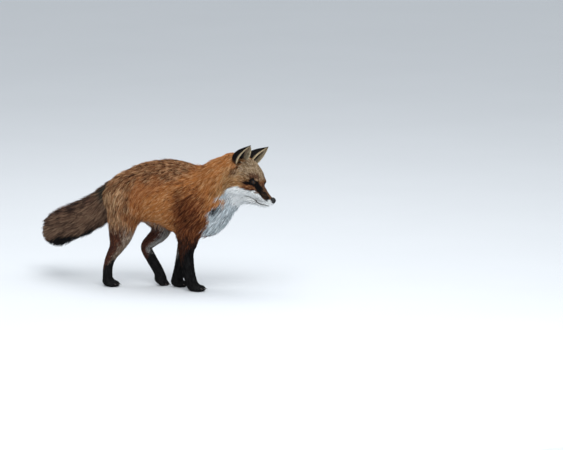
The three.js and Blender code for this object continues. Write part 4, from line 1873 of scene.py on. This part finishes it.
@dataclass
class Ear:
    """One ear: a cupped shell with short fur outside and long pale hairs inside.

    Attributes:
        form: The fox's form.
        side: The ear's side.
        base: The middle of its foot, in the head's frame.
        tip: Its tip.
        facing: The way that it opens.
        deep: How deep it is cupped.
        lean: How far its back leans to one side.
        width: Half its greatest width.
        wall: How thick it is.
        rows: How many faces there are up it.
        columns: How many there are round it.
        sunk: How far its foot goes down into the head, as a share of its length.
        coat: How far its skin lies below its hair.
        bare_tip: How far its skin ends below its tip.
    """

    form: Form
    side: Side
    base: tuple[float, float, float]
    tip: tuple[float, float, float]
    facing: tuple[float, float, float]
    deep: float
    lean: float
    width: float = 21.5
    wall: float = 5.0
    rows: int = 40
    columns: int = 40
    sunk: float = 0.25
    coat: float = 1.2
    bare_tip: float = 3.5

    def __post_init__(self) -> None:
        """Sets out the ear's own axes in the head's frame."""
        self.root = np.array(self.base, float)
        up = np.array(self.tip, float) - self.root
        self.length = float(np.linalg.norm(up))
        self.up = up / self.length
        facing = np.array(self.facing, float)
        self.front = unit(facing - dot(facing, self.up) * self.up)
        self.across = np.cross(self.up, self.front)

    def point(self, share: Array, turn: Array, inner: Array) -> Array:
        """Places on the ear in the fox's frame.

        Args:
            share: How far up the ear, from its foot at 0 to its tip at 1.
            turn: How far round it, from -1 at one rim through its back to 1 at the other.
            inner: 0 on its back and 1 on its inside.

        Returns:
            The points.
        """
        rise = np.clip(share, 0, 1)
        half = self.width * np.sin(math.pi * (0.2 + 0.8 * rise)) ** 0.8 + 1.2
        open_ = 2.1 + (1.4 - 2.1) * rise
        outer = half / np.sin(np.minimum(open_, math.pi / 2))
        radius = outer - self.coat - inner * (self.wall - 2 * self.coat) * (1 - 0.5 * rise)
        radius = np.maximum(radius, 0.9 - 0.5 * inner)
        bend = open_ * turn
        behind = self.deep * (radius * np.cos(bend) - outer * np.cos(open_))
        top = self.length - self.bare_tip
        local = (
            self.root
            + self.up * (share * top)[..., None]
            + self.across * (radius * np.sin(bend) + self.lean * behind)[..., None]
            - self.front * behind[..., None]
        )
        return self.form.head.to_fox(local)

    def build(self) -> bpy.types.Object:
        """Makes the ear's skin.

        Returns:
            Its object.
        """
        share, turn = np.meshgrid(
            np.linspace(-self.sunk, 1, self.rows + 1), np.linspace(-1, 1, self.columns + 1),
            indexing="ij",
        )
        back = self.point(share, turn, np.zeros_like(share)).reshape(-1, 3)
        inside = self.point(share, turn, np.ones_like(share)).reshape(-1, 3)
        stride, layer = self.columns + 1, (self.rows + 1) * (self.columns + 1)
        faces = []
        for i in range(self.rows):
            for j in range(self.columns):
                a, b = i * stride + j, (i + 1) * stride + j
                faces.append([a, b, b + 1, a + 1])
                faces.append([layer + a, layer + a + 1, layer + b + 1, layer + b])
            a, b = i * stride, (i + 1) * stride
            faces.append([a, a + layer, b + layer, b])
            c, d = a + self.columns, b + self.columns
            faces.append([c + layer, c, d, d + layer])
        for j in range(self.columns):
            a, b = j, self.rows * stride + j
            faces.append([a + 1, a + 1 + layer, a + layer, a])
            faces.append([b, b + layer, b + 1 + layer, b + 1])
        points = np.concatenate([back, inside])
        tint = np.concatenate([self.back_tint(share, turn), self.inner_tint(share, turn)])
        side = self.side.name.lower()
        material = Finish("ear_skin", follows=True, roughness=0.7, grain=700, relief=0.3).make()
        piece = make_object(f"ear_skin_{side}", points, np.array(faces), material, tint * 0.7)
        place_piece(piece, Slot.EAR, f"ear_{side}")
        self._build_fur()
        return piece

    def back_tint(self, share: Array, turn: Array) -> Array:
        """The colour of the ear's back, with a pale rim and a brown foot.

        Args:
            share: How far up the ear.
            turn: How far round it.

        Returns:
            The colours, one to a row.
        """
        lateral = turn * int(self.side)
        rim = np.maximum(ramp(0.86, 0.97, lateral), ramp(0.84, 0.97, -lateral)).reshape(-1, 1)
        rim = rim * ramp(1.0, 0.9, share).reshape(-1, 1)
        foot = ramp(0.2, 0.02, share).reshape(-1, 1)
        colour = shade(17, 14, 16) * (1 - rim) + shade(206, 186, 150) * rim
        return colour * (1 - foot) + shade(112, 76, 50) * foot

    def inner_tint(self, share: Array, turn: Array) -> Array:
        """The colour of the ear's inside, with painted shade in the ear's cup beside its outer rim.

        Args:
            share: How far up the ear.
            turn: How far round it.

        Returns:
            The colours, one to a row.
        """
        lateral = turn * int(self.side)
        # Painted shade: near-black in the ear's cup beside the outer rim, fading out up the ear.
        reach = -0.85 + 0.5 * share
        hollow_shade = (ramp(reach, reach + 0.15, lateral) * ramp(0.82, 0.66, lateral)).reshape(-1, 1)
        hollow_shade = hollow_shade * ramp(0.78, 0.55, share).reshape(-1, 1)
        rim = ramp(0.6, 0.9, np.abs(turn)).reshape(-1, 1)
        pale = shade(150, 128, 104) * (1 - rim) + shade(214, 196, 162) * rim
        return pale * (1 - hollow_shade) + shade(20, 16, 17) * hollow_shade

    def _build_fur(self) -> None:
        """Makes the ear's fur, the short hair outside and the long hair inside."""
        rng = np.random.default_rng(40 + int(self.side))
        count = 4000
        share = rng.random(count) ** 0.8
        turn = rng.uniform(-1, 1, count)
        roots = self.point(share, turn, np.zeros(count))
        ahead = self.point(share + 0.06, turn, np.zeros(count))
        inward = self.point(share, turn, np.ones(count))
        outward, lie = unit(roots - inward), unit(ahead - roots)
        length = rng.uniform(3.5, 6.5, count) * (1.25 - 0.8 * share)
        back = self._paths(roots, lie, outward, length, 0.22, rng)
        tint = self.back_tint(share, turn) * rng.uniform(0.75, 1.25, (count, 1))
        uv = np.stack([share * 0.46 + 0.02, turn * 0.48 + 0.5], 1)
        sets = [(back, outward, length * 0.05 + 0.45, tint, uv)]
        inner_count = 700
        share = rng.uniform(0.05, 0.92, inner_count)
        turn = np.where(rng.random(inner_count) < 0.3, 1, -1) * int(self.side)
        turn = turn * np.where(turn * int(self.side) > 0, 0.86, 0.72)
        turn = turn + np.sign(turn) * rng.uniform(0, 1, inner_count) * (1 - np.abs(turn))
        roots = self.point(share, turn, np.ones(inner_count))
        ahead = self.point(share + 0.06, turn, np.ones(inner_count))
        outer = self.point(share, turn, np.zeros(inner_count))
        inwards = unit(roots - outer)
        lie = unit(unit(ahead - roots) + 0.35 * inwards)
        length = rng.uniform(6, 14, inner_count) * (1.1 - 0.7 * share)
        length = length * np.where(np.abs(turn) > 0.85, 0.5, 1.0)
        hairs = self._paths(roots, lie, inwards, length, 0.3, rng)
        low_down = ramp(0.4, 0.1, share).reshape(-1, 1)
        tint = shade(206, 190, 160) * (1 - low_down) + shade(168, 132, 92) * low_down
        tint = tint * rng.uniform(0.6, 1.1, (inner_count, 1))
        uv = np.stack([share * 0.46 + 0.52, turn * 0.48 + 0.5], 1)
        sets.append((hairs, inwards, length * 0.05 + 0.4, tint, uv))
        parts, faces, start = [], [], 0
        for paths, outward, width, tint, uv in sets:
            roll = rng.normal(0, 0.4, len(paths))
            vertices, corners, *looks = Locks(
                paths, outward, width, tint, tint * 0.6, uv, roll
            ).mesh()
            parts.append((vertices, *looks))
            faces.append(corners + start)
            start += len(vertices)
        vertices, *looks = (np.concatenate(column) for column in zip(*parts))
        material = replace(FUR, name="ear_fur").make()
        name = f"coat_ear_{self.side.name.lower()}"
        piece = make_object(name, vertices, np.concatenate(faces), material, *looks)
        place_piece(piece, Slot.EAR)

    @staticmethod
    def _paths(
        roots: Array, lie: Array, outward: Array, length: Array, rise: float,
        rng: np.random.Generator,
    ) -> Array:
        """Short paths that rise a little from their roots.

        Args:
            roots: Where they start.
            lie: The way that each goes.
            outward: The way that each rises.
            length: Their lengths.
            rise: How far they rise, as a share of their length.
            rng: What their sway is drawn from.

        Returns:
            Three points for each.
        """
        lie = unit(lie + rng.normal(0, 0.12, lie.shape))
        share = np.array([0, 0.5, 1.0])[None, :, None]
        bow = 1 - (1 - share) ** 2
        reach = length[:, None, None]
        return roots[:, None] + lie[:, None] * share * reach + outward[:, None] * bow * reach * rise


@dataclass
class Eye:
    """One eye with its lids, looking out of the side of the head.

    Attributes:
        form: The fox's form.
        side: The eye's side.
        radius: The eyeball's radius.
        gaze: The way that the left eye looks, in the head's frame.
        rows: How many faces there are from the front of the eyeball to its rear.
        columns: How many there are round it.
        opening: Half the lids' opening across and upward, as angles.
        sunk: How far the eye is set back into the head.
        lid: The lids' section: an angle out from the opening and a height over the eyeball each.
    """

    form: Form
    side: Side
    radius: float = 8.9
    gaze: tuple[float, float, float] = (0.6, 0.77, 0.16)
    rows: int = 40
    columns: int = 48
    opening: tuple[float, float] = (0.98, 0.46)
    sunk: float = 1.8
    lid: tuple[tuple[float, float], ...] = (
        (0.06, -0.5), (0.0, 0.3), (0.02, 0.75), (0.09, 1.0), (0.2, 0.9), (0.42, 0.2), (0.65, -1.4),
    )

    def __post_init__(self) -> None:
        """Sets out the eye's own axes."""
        mirror = np.array([1.0, float(self.side), 1.0])
        self.out = unit(np.array(self.gaze) * mirror)
        self.middle = self.form.head.eye * mirror - self.sunk * self.out
        lean = np.array([0.93, -0.3 * float(self.side), 0.1])
        self.fore = unit(lean - dot(lean, self.out) * self.out)
        self.up = np.cross(self.out, self.fore) * -float(self.side)
        if self.up[2] < 0:
            self.up = -self.up

    def _around(self, bend: Array, turn: Array, radius: Array) -> Array:
        """Places around the eye's middle.

        Args:
            bend: Their angles from the gaze.
            turn: Their angles round it.
            radius: Their distances from the middle.

        Returns:
            The points, in the fox's frame.
        """
        local = (
            self.out * (np.cos(bend) * radius)[..., None]
            + self.fore * (np.sin(bend) * np.cos(turn) * radius)[..., None]
            + self.up * (np.sin(bend) * np.sin(turn) * radius)[..., None]
        )
        return self.form.head.to_fox(self.middle + local)

    def build(self) -> list[bpy.types.Object]:
        """Makes the eyeball and its lids.

        Returns:
            Their objects.
        """
        return [self._ball(), self._lids()]

    def _ball(self) -> bpy.types.Object:
        """Makes the eyeball with its iris and slit pupil.

        Returns:
            Its object.
        """
        bends = np.linspace(0, math.pi, self.rows + 1)[1:-1]
        turns = np.arange(self.columns) * 2 * math.pi / self.columns
        bend, turn = np.meshgrid(bends, turns, indexing="ij")
        bulge = 0.9 * np.exp(-((bend / 0.55) ** 2))
        ring = self._around(bend, turn, self.radius + bulge).reshape(-1, 3)
        front = self._around(np.zeros(1), np.zeros(1), np.full(1, self.radius + 0.9))
        rear = self._around(np.full(1, math.pi), np.zeros(1), np.full(1, self.radius))
        points = np.concatenate([ring, front, rear])
        faces, n = [], self.columns
        for i in range(len(bends) - 1):
            for j in range(n):
                a, b = i * n + j, i * n + (j + 1) % n
                faces += [[a, a + n, b + n], [a, b + n, b]]
        last = (len(bends) - 1) * n
        for j in range(n):
            faces.append([len(ring), j, (j + 1) % n])
            faces.append([len(ring) + 1, last + (j + 1) % n, last + j])
        faces = np.array(faces)
        if self.side is Side.LEFT:
            faces = faces[:, ::-1]
        tint = self._iris(bend, turn)
        ends = np.array([shade(4, 3, 3), shade(20, 14, 12)])
        tint = np.concatenate([tint.reshape(-1, 3), ends])
        name = self.side.name.lower()
        piece = make_object(f"eyeball_{name}", points, faces, EYEBALL.make(), tint)
        place_piece(piece, Slot.EYE, f"eye_{name}")
        return piece

    def _iris(self, bend: Array, turn: Array) -> Array:
        """The colours of the eyeball.

        Args:
            bend: Angles from the gaze.
            turn: Angles round it.

        Returns:
            The colours there.
        """
        across = np.sin(bend) * np.cos(turn)
        upward = np.sin(bend) * np.sin(turn)
        pupil = ramp(1.2, 0.9, np.hypot(across / 0.27, upward / 0.44))[..., None]
        streaks = 0.85 + 0.15 * np.sin(turn * 23 + 2 * np.sin(turn * 7))
        amber = shade(64, 38, 18) * streaks[..., None]
        white = ramp(0.62, 0.72, bend)[..., None]
        iris = amber * (1 - pupil) + shade(4, 3, 3) * pupil
        return iris * (1 - white) + shade(24, 16, 13) * white

    def _lids(self) -> bpy.types.Object:
        """Makes the dark rim of the lids, a ring from inside the opening out under the skin.

        Returns:
            Its object.
        """
        turns = np.arange(self.columns) * 2 * math.pi / self.columns
        cos, sin = np.abs(np.cos(turns)), np.abs(np.sin(turns))
        wide, high = self.opening
        inner = 2 * high / (sin + np.sqrt(sin**2 + (2 * high * cos / wide) ** 2))
        loops = []
        for offset, height in self.lid:
            radius = np.full(len(turns), self.radius + height)
            loops.append(self._around(inner + offset, turns, radius))
        points = np.concatenate(loops)
        faces, n = [], self.columns
        for i in range(len(loops)):
            k = (i + 1) % len(loops)
            for j in range(n):
                a, b = i * n + j, i * n + (j + 1) % n
                c, d = k * n + j, k * n + (j + 1) % n
                faces.append([a, c, d, b])
        faces = np.array(faces)
        if self.side is Side.LEFT:
            faces = faces[:, ::-1]
        piece = make_object(f"eyelids_{self.side.name.lower()}", points, faces, LID_SKIN.make())
        place_piece(piece, Slot.EYE)
        return piece


@dataclass
class Nose:
    """The nose pad with its nostrils.

    Attributes:
        form: The fox's form.
        at: The pad's middle, in the head's frame.
        radii: Its radii.
        cell: The size of its net's cells.
    """

    form: Form
    at: tuple[float, float, float] = (-6.0, 0.0, -4.0)
    radii: tuple[float, float, float] = (7.8, 9.2, 9.0)
    cell: float = 0.55

    def value(self, points: Array) -> Array:
        """How far points are from the pad.

        Args:
            points: Points of the head's frame.

        Returns:
            Their distances, below zero inside.
        """

        def ball(at: tuple[float, ...], radii: tuple[float, ...]) -> Reading:
            """Reads a ball at the points."""
            return Ball(at, radii).read_near(points)

        pad = ball(self.at, self.radii)
        pad = pad.blend(ball((-10, 0, -1), (7, 8, 7)), 3)
        for side in Side:
            pad = pad.carve(ball((0.5, side * 4.4, -4.2), (3.6, 2.0, 2.3)), 1.2)
            pad = pad.carve(ball((-3.5, side * 8.6, -5.6), (5.0, 2.2, 1.0)), 1.0)
        pad = pad.carve(ball((2.0, 0, -9), (4.5, 0.7, 6.5)), 0.8)
        grain = 0.12 * ripple(points, 1.9, 8)
        return pad.distance + grain

    def build(self) -> bpy.types.Object:
        """Makes the nose.

        Returns:
            Its object.
        """
        low, high = np.array([-20.0, -12.0, -16.0]), np.array([4.0, 12.0, 8.0])
        vertices, faces = surface_net(self.value, low, high, self.cell)
        points = self.form.head.to_fox(vertices)
        piece = make_object("nose_pad", points, faces, NOSE_LEATHER.make())
        place_piece(piece, Slot.NOSE, "nose")
        return piece


# Claws and whiskers -------------------------------------------------------------------------------

CLAW_HORN = Finish(
    "claw_horn", (58, 48, 44), roughness=0.35, specular=0.5, grain=900, relief=0.2, uneven=0.3
)
WHISKER_HAIR = Finish(
    "whisker_hair", (34, 28, 28), roughness=0.4, specular=0.4, grain=500, relief=0.0
)


class Growth:
    """A tree of nodes that grows one tapered bowed spike at each vertex of a mesh."""

    def __init__(self, name: str, material: bpy.types.Material) -> None:
        """Builds the tree.

        Args:
            name: Its name.
            material: The material of what it grows.
        """
        tree = bpy.data.node_groups.new(name, "GeometryNodeTree")
        face = tree.interface
        face.new_socket("Geometry", in_out="INPUT", socket_type="NodeSocketGeometry")
        self.radius = face.new_socket("Radius", in_out="INPUT", socket_type="NodeSocketFloat")
        self.bow = face.new_socket("Bow", in_out="INPUT", socket_type="NodeSocketFloat")
        face.new_socket("Geometry", in_out="OUTPUT", socket_type="NodeSocketGeometry")
        source = add_node(tree, "NodeGroupInput").outputs
        sink = add_node(tree, "NodeGroupOutput")
        middle = add_node(tree, "ShaderNodeCombineXYZ", {"X": 0.5, "Z": source["Bow"]})
        line = add_node(
            tree, "GeometryNodeCurveQuadraticBezier",
            {"Resolution": 8, "Start": (0, 0, 0), "Middle": middle.outputs[0], "End": (1, 0, 0)},
        )
        share = add_node(tree, "GeometryNodeSplineParameter").outputs["Factor"]
        taper = add_node(
            tree, "ShaderNodeMapRange", {"Value": share, "To Min": 1.0, "To Max": 0.08}
        ).outputs["Result"]
        ring = add_node(
            tree, "GeometryNodeCurvePrimitiveCircle", {"Resolution": 6, "Radius": source["Radius"]}
        )
        tapered = add_node(
            tree, "GeometryNodeSetCurveRadius", {"Curve": line.outputs["Curve"], "Radius": taper}
        )
        tube = add_node(
            tree, "GeometryNodeCurveToMesh",
            {
                "Curve": tapered.outputs["Curve"], "Profile Curve": ring.outputs["Curve"],
                "Fill Caps": True,
            },
        )
        if "Scale" in tube.inputs:
            set_inputs(tree, tube, {"Scale": taper})
        turn = add_node(
            tree, "GeometryNodeInputNamedAttribute", {"Name": "turn"}, data_type="QUATERNION"
        )
        length = add_node(
            tree, "GeometryNodeInputNamedAttribute", {"Name": "length"}, data_type="FLOAT"
        )
        spread = add_node(
            tree, "GeometryNodeInstanceOnPoints",
            {
                "Points": source["Geometry"], "Instance": tube.outputs["Mesh"],
                "Rotation": next(out for out in turn.outputs if out.type == "ROTATION"),
                "Scale": length.outputs["Attribute"],
            },
        )
        real = add_node(
            tree, "GeometryNodeRealizeInstances", {"Geometry": spread.outputs["Instances"]}
        )
        dressed = add_node(
            tree, "GeometryNodeSetMaterial",
            {"Geometry": real.outputs["Geometry"], "Material": material},
        )
        set_inputs(tree, sink, {"Geometry": dressed.outputs["Geometry"]})
        self.tree = tree
        self.material = material

    def grow(
        self, name: str, roots: Array, ways: Array, ups: Array, lengths: Array, radius: float,
        bow: float,
    ) -> bpy.types.Object:
        """Grows the spikes and makes them one plain mesh.

        Args:
            name: The piece's name.
            roots: Where the spikes start, in the fox's frame.
            ways: The way that each points.
            ups: The way that each bows.
            lengths: Their lengths, in millimetres.
            radius: Their radius at the root, as a share of their length.
            bow: How far they bow, as a share of their length.

        Returns:
            The piece.
        """
        mesh = bpy.data.meshes.new(name + "_roots")
        mesh.from_pydata([tuple(p) for p in to_metres(roots)], [], [])
        mesh.attributes.new("turn", "QUATERNION", "POINT")
        mesh.attributes.new("length", "FLOAT", "POINT")
        turn, length = mesh.attributes["turn"], mesh.attributes["length"]
        for i, (way, up) in enumerate(zip(unit(ways), ups)):
            side = unit(np.cross(up, way))
            rows = np.stack([way, side, np.cross(way, side)], 1)
            turn.data[i].value = Matrix(rows.tolist()).to_quaternion()
            length.data[i].value = float(lengths[i]) * MM
        seedling = bpy.data.objects.new(name + "_roots", mesh)
        bpy.context.scene.collection.objects.link(seedling)
        modifier = seedling.modifiers.new("grow", "NODES")
        modifier.node_group = self.tree
        modifier[self.radius.identifier] = radius
        modifier[self.bow.identifier] = bow
        graph = bpy.context.evaluated_depsgraph_get()
        plain = bpy.data.meshes.new_from_object(seedling.evaluated_get(graph))
        plain.name = name
        piece = bpy.data.objects.new(name, plain)
        bpy.context.scene.collection.objects.link(piece)
        bpy.data.objects.remove(seedling)
        if not plain.materials:
            plain.materials.append(self.material)
        plain.polygons.foreach_set("use_smooth", np.full(len(plain.polygons), True))
        return piece


@dataclass
class Claws:
    """The claws of all four paws.

    Attributes:
        form: The fox's form.
        length: A claw's length.
        thickness: Its radius at the root, as a share of its length.
        bow: How far it bows, as a share of its length.
        droop: How steeply it points down.
    """

    form: Form
    length: float = 11.0
    thickness: float = 0.17
    bow: float = 0.22
    droop: float = 0.35

    def build(self) -> bpy.types.Object:
        """Makes the claws.

        Returns:
            Their object.
        """
        roots, ways, ups = [], [], []
        for leg in self.form.legs:
            paw = leg.paw
            for x, y in paw.toes:
                front = x * paw.reach + paw.toe_radii[0]
                roots.append(paw.to_fox(np.array([front - 4.0, y, -0.5])))
                ways.append(paw.turn @ np.array([1, 0, -self.droop]))
                ups.append(paw.turn @ np.array([0.3, 0, 1.0]))
        roots, ways = np.array(roots), np.array(ways)
        roots[:, 2] = np.maximum(roots[:, 2], 6.0)
        ways[:, 2] = np.maximum(ways[:, 2], (2.0 - roots[:, 2]) / self.length)
        growth = Growth("claw_growth", CLAW_HORN.make())
        lengths = np.full(len(roots), self.length)
        piece = growth.grow(
            "claws", roots, ways, np.array(ups), lengths, self.thickness, self.bow
        )
        place_piece(piece, Slot.DARK)
        return piece


@dataclass
class Whiskers:
    """The whiskers on both sides of the muzzle.

    Attributes:
        form: The fox's form.
        rows: How many rows there are on a side.
        in_row: How many whiskers are in a row.
        longest: The length that theirs are shares of.
        thickness: Their radius at the root, as a share of their length.
        bow: How far they bow, as a share of their length.
    """

    form: Form
    rows: int = 4
    in_row: int = 5
    longest: float = 62.0
    thickness: float = 0.006
    bow: float = 0.08

    def build(self) -> bpy.types.Object:
        """Makes the whiskers.

        Returns:
            Their object.
        """
        rng = np.random.default_rng(7)
        head = self.form.head
        roots, ways, ups, lengths = [], [], [], []
        for side in Side:
            for r in range(self.rows):
                for c in range(self.in_row):
                    x = -22 - 6.5 * c - 2 * r
                    z = -13 - 4.2 * r - 0.8 * c
                    outer = np.array([[x, side * 40.0, z]])
                    point = self._onto(head.to_fox(outer), side)
                    roots.append(point)
                    way = np.array([0.1 - 0.14 * c, side * 0.75, -0.45 - 0.12 * r])
                    way += rng.normal(0, 0.08, 3)
                    ways.append(head.turn @ way)
                    ups.append(head.turn @ np.array([0.2, 0, 1.0]))
                    lengths.append(self.longest * (0.45 + 0.13 * c) * rng.uniform(0.8, 1.1))
        growth = Growth("whisker_growth", WHISKER_HAIR.make())
        points = (np.array(column) for column in (roots, ways, ups, lengths))
        piece = growth.grow("whiskers", *points, self.thickness, self.bow)
        place_piece(piece, Slot.DARK)
        return piece

    def _onto(self, start: Array, side: Side) -> Array:
        """Moves a point beside the muzzle onto its skin.

        Args:
            start: The point, as the only row.
            side: The side that it is on.

        Returns:
            The point on the skin.
        """
        way = self.form.head.turn @ np.array([0.0, -float(side), 0.0])
        for _ in range(12):
            reading = self.form.read(start)
            start = start + way * (reading.distance + reading.depth + 0.6)[:, None]
        return start[0]


# The scene ----------------------------------------------------------------------------------------


FLOOR_PAINT = Finish(
    "floor_paint", (226, 230, 234), roughness=0.9, grain=2, relief=0.0, uneven=0.01
)


@dataclass(frozen=True)
class Lamp:
    """A soft square light that faces the fox.

    Attributes:
        name: Its name.
        place: Where it hangs, in metres.
        size: How wide it is, in metres.
        power: Its power, in watts.
    """

    name: str
    place: tuple[float, float, float]
    size: float
    power: float


@dataclass
class Studio:
    """A pale floor, soft lights and the camera.

    Attributes:
        azimuth: How far the camera stands ahead of a plain side view, in degrees.
        elevation: How far it stands above the horizon, in degrees.
        scale: How many millimetres a pixel is wide at the fox.
        frame_size: The picture's width and height, in pixels.
        origin_at: Where the origin of the fox's frame is in the picture, in pixels.
        distance: How far away the camera is, in metres.
        sensor: How wide its sensor is.
        floor: Half the floor's width, in metres.
        lamps: The lights.
        aim: The place that they face, in metres.
        air: The colour of the light from all around.
        air_strength: How strong it is.
    """

    azimuth: float = 20.0
    elevation: float = 9.0
    scale: float = 3.2
    frame_size: tuple[int, int] = (563, 450)
    origin_at: tuple[float, float] = (196.9, 289.5)
    distance: float = 20.0
    sensor: float = 36.0
    floor: float = 30.0
    lamps: tuple[Lamp, ...] = (
        Lamp("key", (1.2, -2.6, 3.4), 2.4, 98), Lamp("top", (-0.5, 0.6, 3.6), 3.0, 48),
        Lamp("fill", (2.2, -1.9, 0.5), 1.4, 15),
    )
    aim: tuple[float, float, float] = (0, 0, 0.25)
    air: tuple[float, float, float] = (0.92, 0.96, 1.0)
    air_strength: float = 0.66

    def build(self) -> None:
        """Sets up the whole studio."""
        self._floor()
        self._lights()
        self._camera()

    def _camera(self) -> None:
        """Places the camera, which looks along the fox from its right."""
        a, e = math.radians(self.azimuth), math.radians(self.elevation)
        right = np.array([math.cos(a), math.sin(a), 0])
        up = np.array([-math.sin(e) * math.sin(a), math.sin(e) * math.cos(a), math.cos(e)])
        back = np.cross(right, up)
        wide, high = self.frame_size
        aim = right * (wide / 2 - self.origin_at[0]) + up * (self.origin_at[1] - high / 2)
        place = (aim * self.scale + TO_MIDDLE) * MM + back * self.distance
        lens = bpy.data.cameras.new("camera")
        lens.sensor_fit = "HORIZONTAL"
        lens.sensor_width = self.sensor
        lens.lens = self.sensor * self.distance / (wide * self.scale * MM)
        lens.clip_end = 200
        camera = bpy.data.objects.new("camera", lens)
        turn = Matrix(np.stack([right, up, back], 1).tolist()).to_4x4()
        camera.matrix_world = Matrix.Translation(Vector(place)) @ turn
        bpy.context.scene.collection.objects.link(camera)
        bpy.context.scene.camera = camera

    def _floor(self) -> None:
        """Lays the floor."""
        half = self.floor
        mesh = bpy.data.meshes.new("floor")
        corners = [(-half, -half, 0), (half, -half, 0), (half, half, 0), (-half, half, 0)]
        mesh.from_pydata(corners, [], [(0, 1, 2, 3)])
        mesh.materials.append(FLOOR_PAINT.make())
        floor = bpy.data.objects.new("floor", mesh)
        bpy.context.scene.collection.objects.link(floor)

    def _lights(self) -> None:
        """Hangs the lights."""
        world = bpy.data.worlds.new("studio_air")
        world.use_nodes = True
        air = world.node_tree.nodes["Background"]
        air.inputs["Color"].default_value = (*self.air, 1)
        air.inputs["Strength"].default_value = self.air_strength
        bpy.context.scene.world = world
        bpy.context.scene.view_settings.view_transform = "Standard"
        for lamp in self.lamps:
            light = bpy.data.lights.new(lamp.name, "AREA")
            light.size, light.energy = lamp.size, lamp.power
            body = bpy.data.objects.new(lamp.name, light)
            body.location = lamp.place
            way = Vector(self.aim) - Vector(lamp.place)
            body.rotation_euler = way.to_track_quat("-Z", "Y").to_euler()
            bpy.context.scene.collection.objects.link(body)


def main() -> None:
    """Builds the fox and its studio, piece by piece."""
    logging.basicConfig(level=logging.INFO, format="%(message)s")
    Studio().build()
    form = Form()
    markings = Markings(form)
    skin = Skin(form, markings)
    skin.build()
    Coat(form, markings, skin).build()
    Ear(form, Side.RIGHT, (-156, -32, 38), (-137, -56, 124), (0.97, -0.25, 0), 1.05, -0.42).build()
    Ear(form, Side.LEFT, (-156, 31, 38), (-143, 52, 121), (1, 0.08, 0), 1.25, -0.18).build()
    for side in Side:
        Eye(form, side).build()
    Nose(form).build()
    Claws(form).build()
    Whiskers(form).build()


if __name__ == "__main__":
    main()
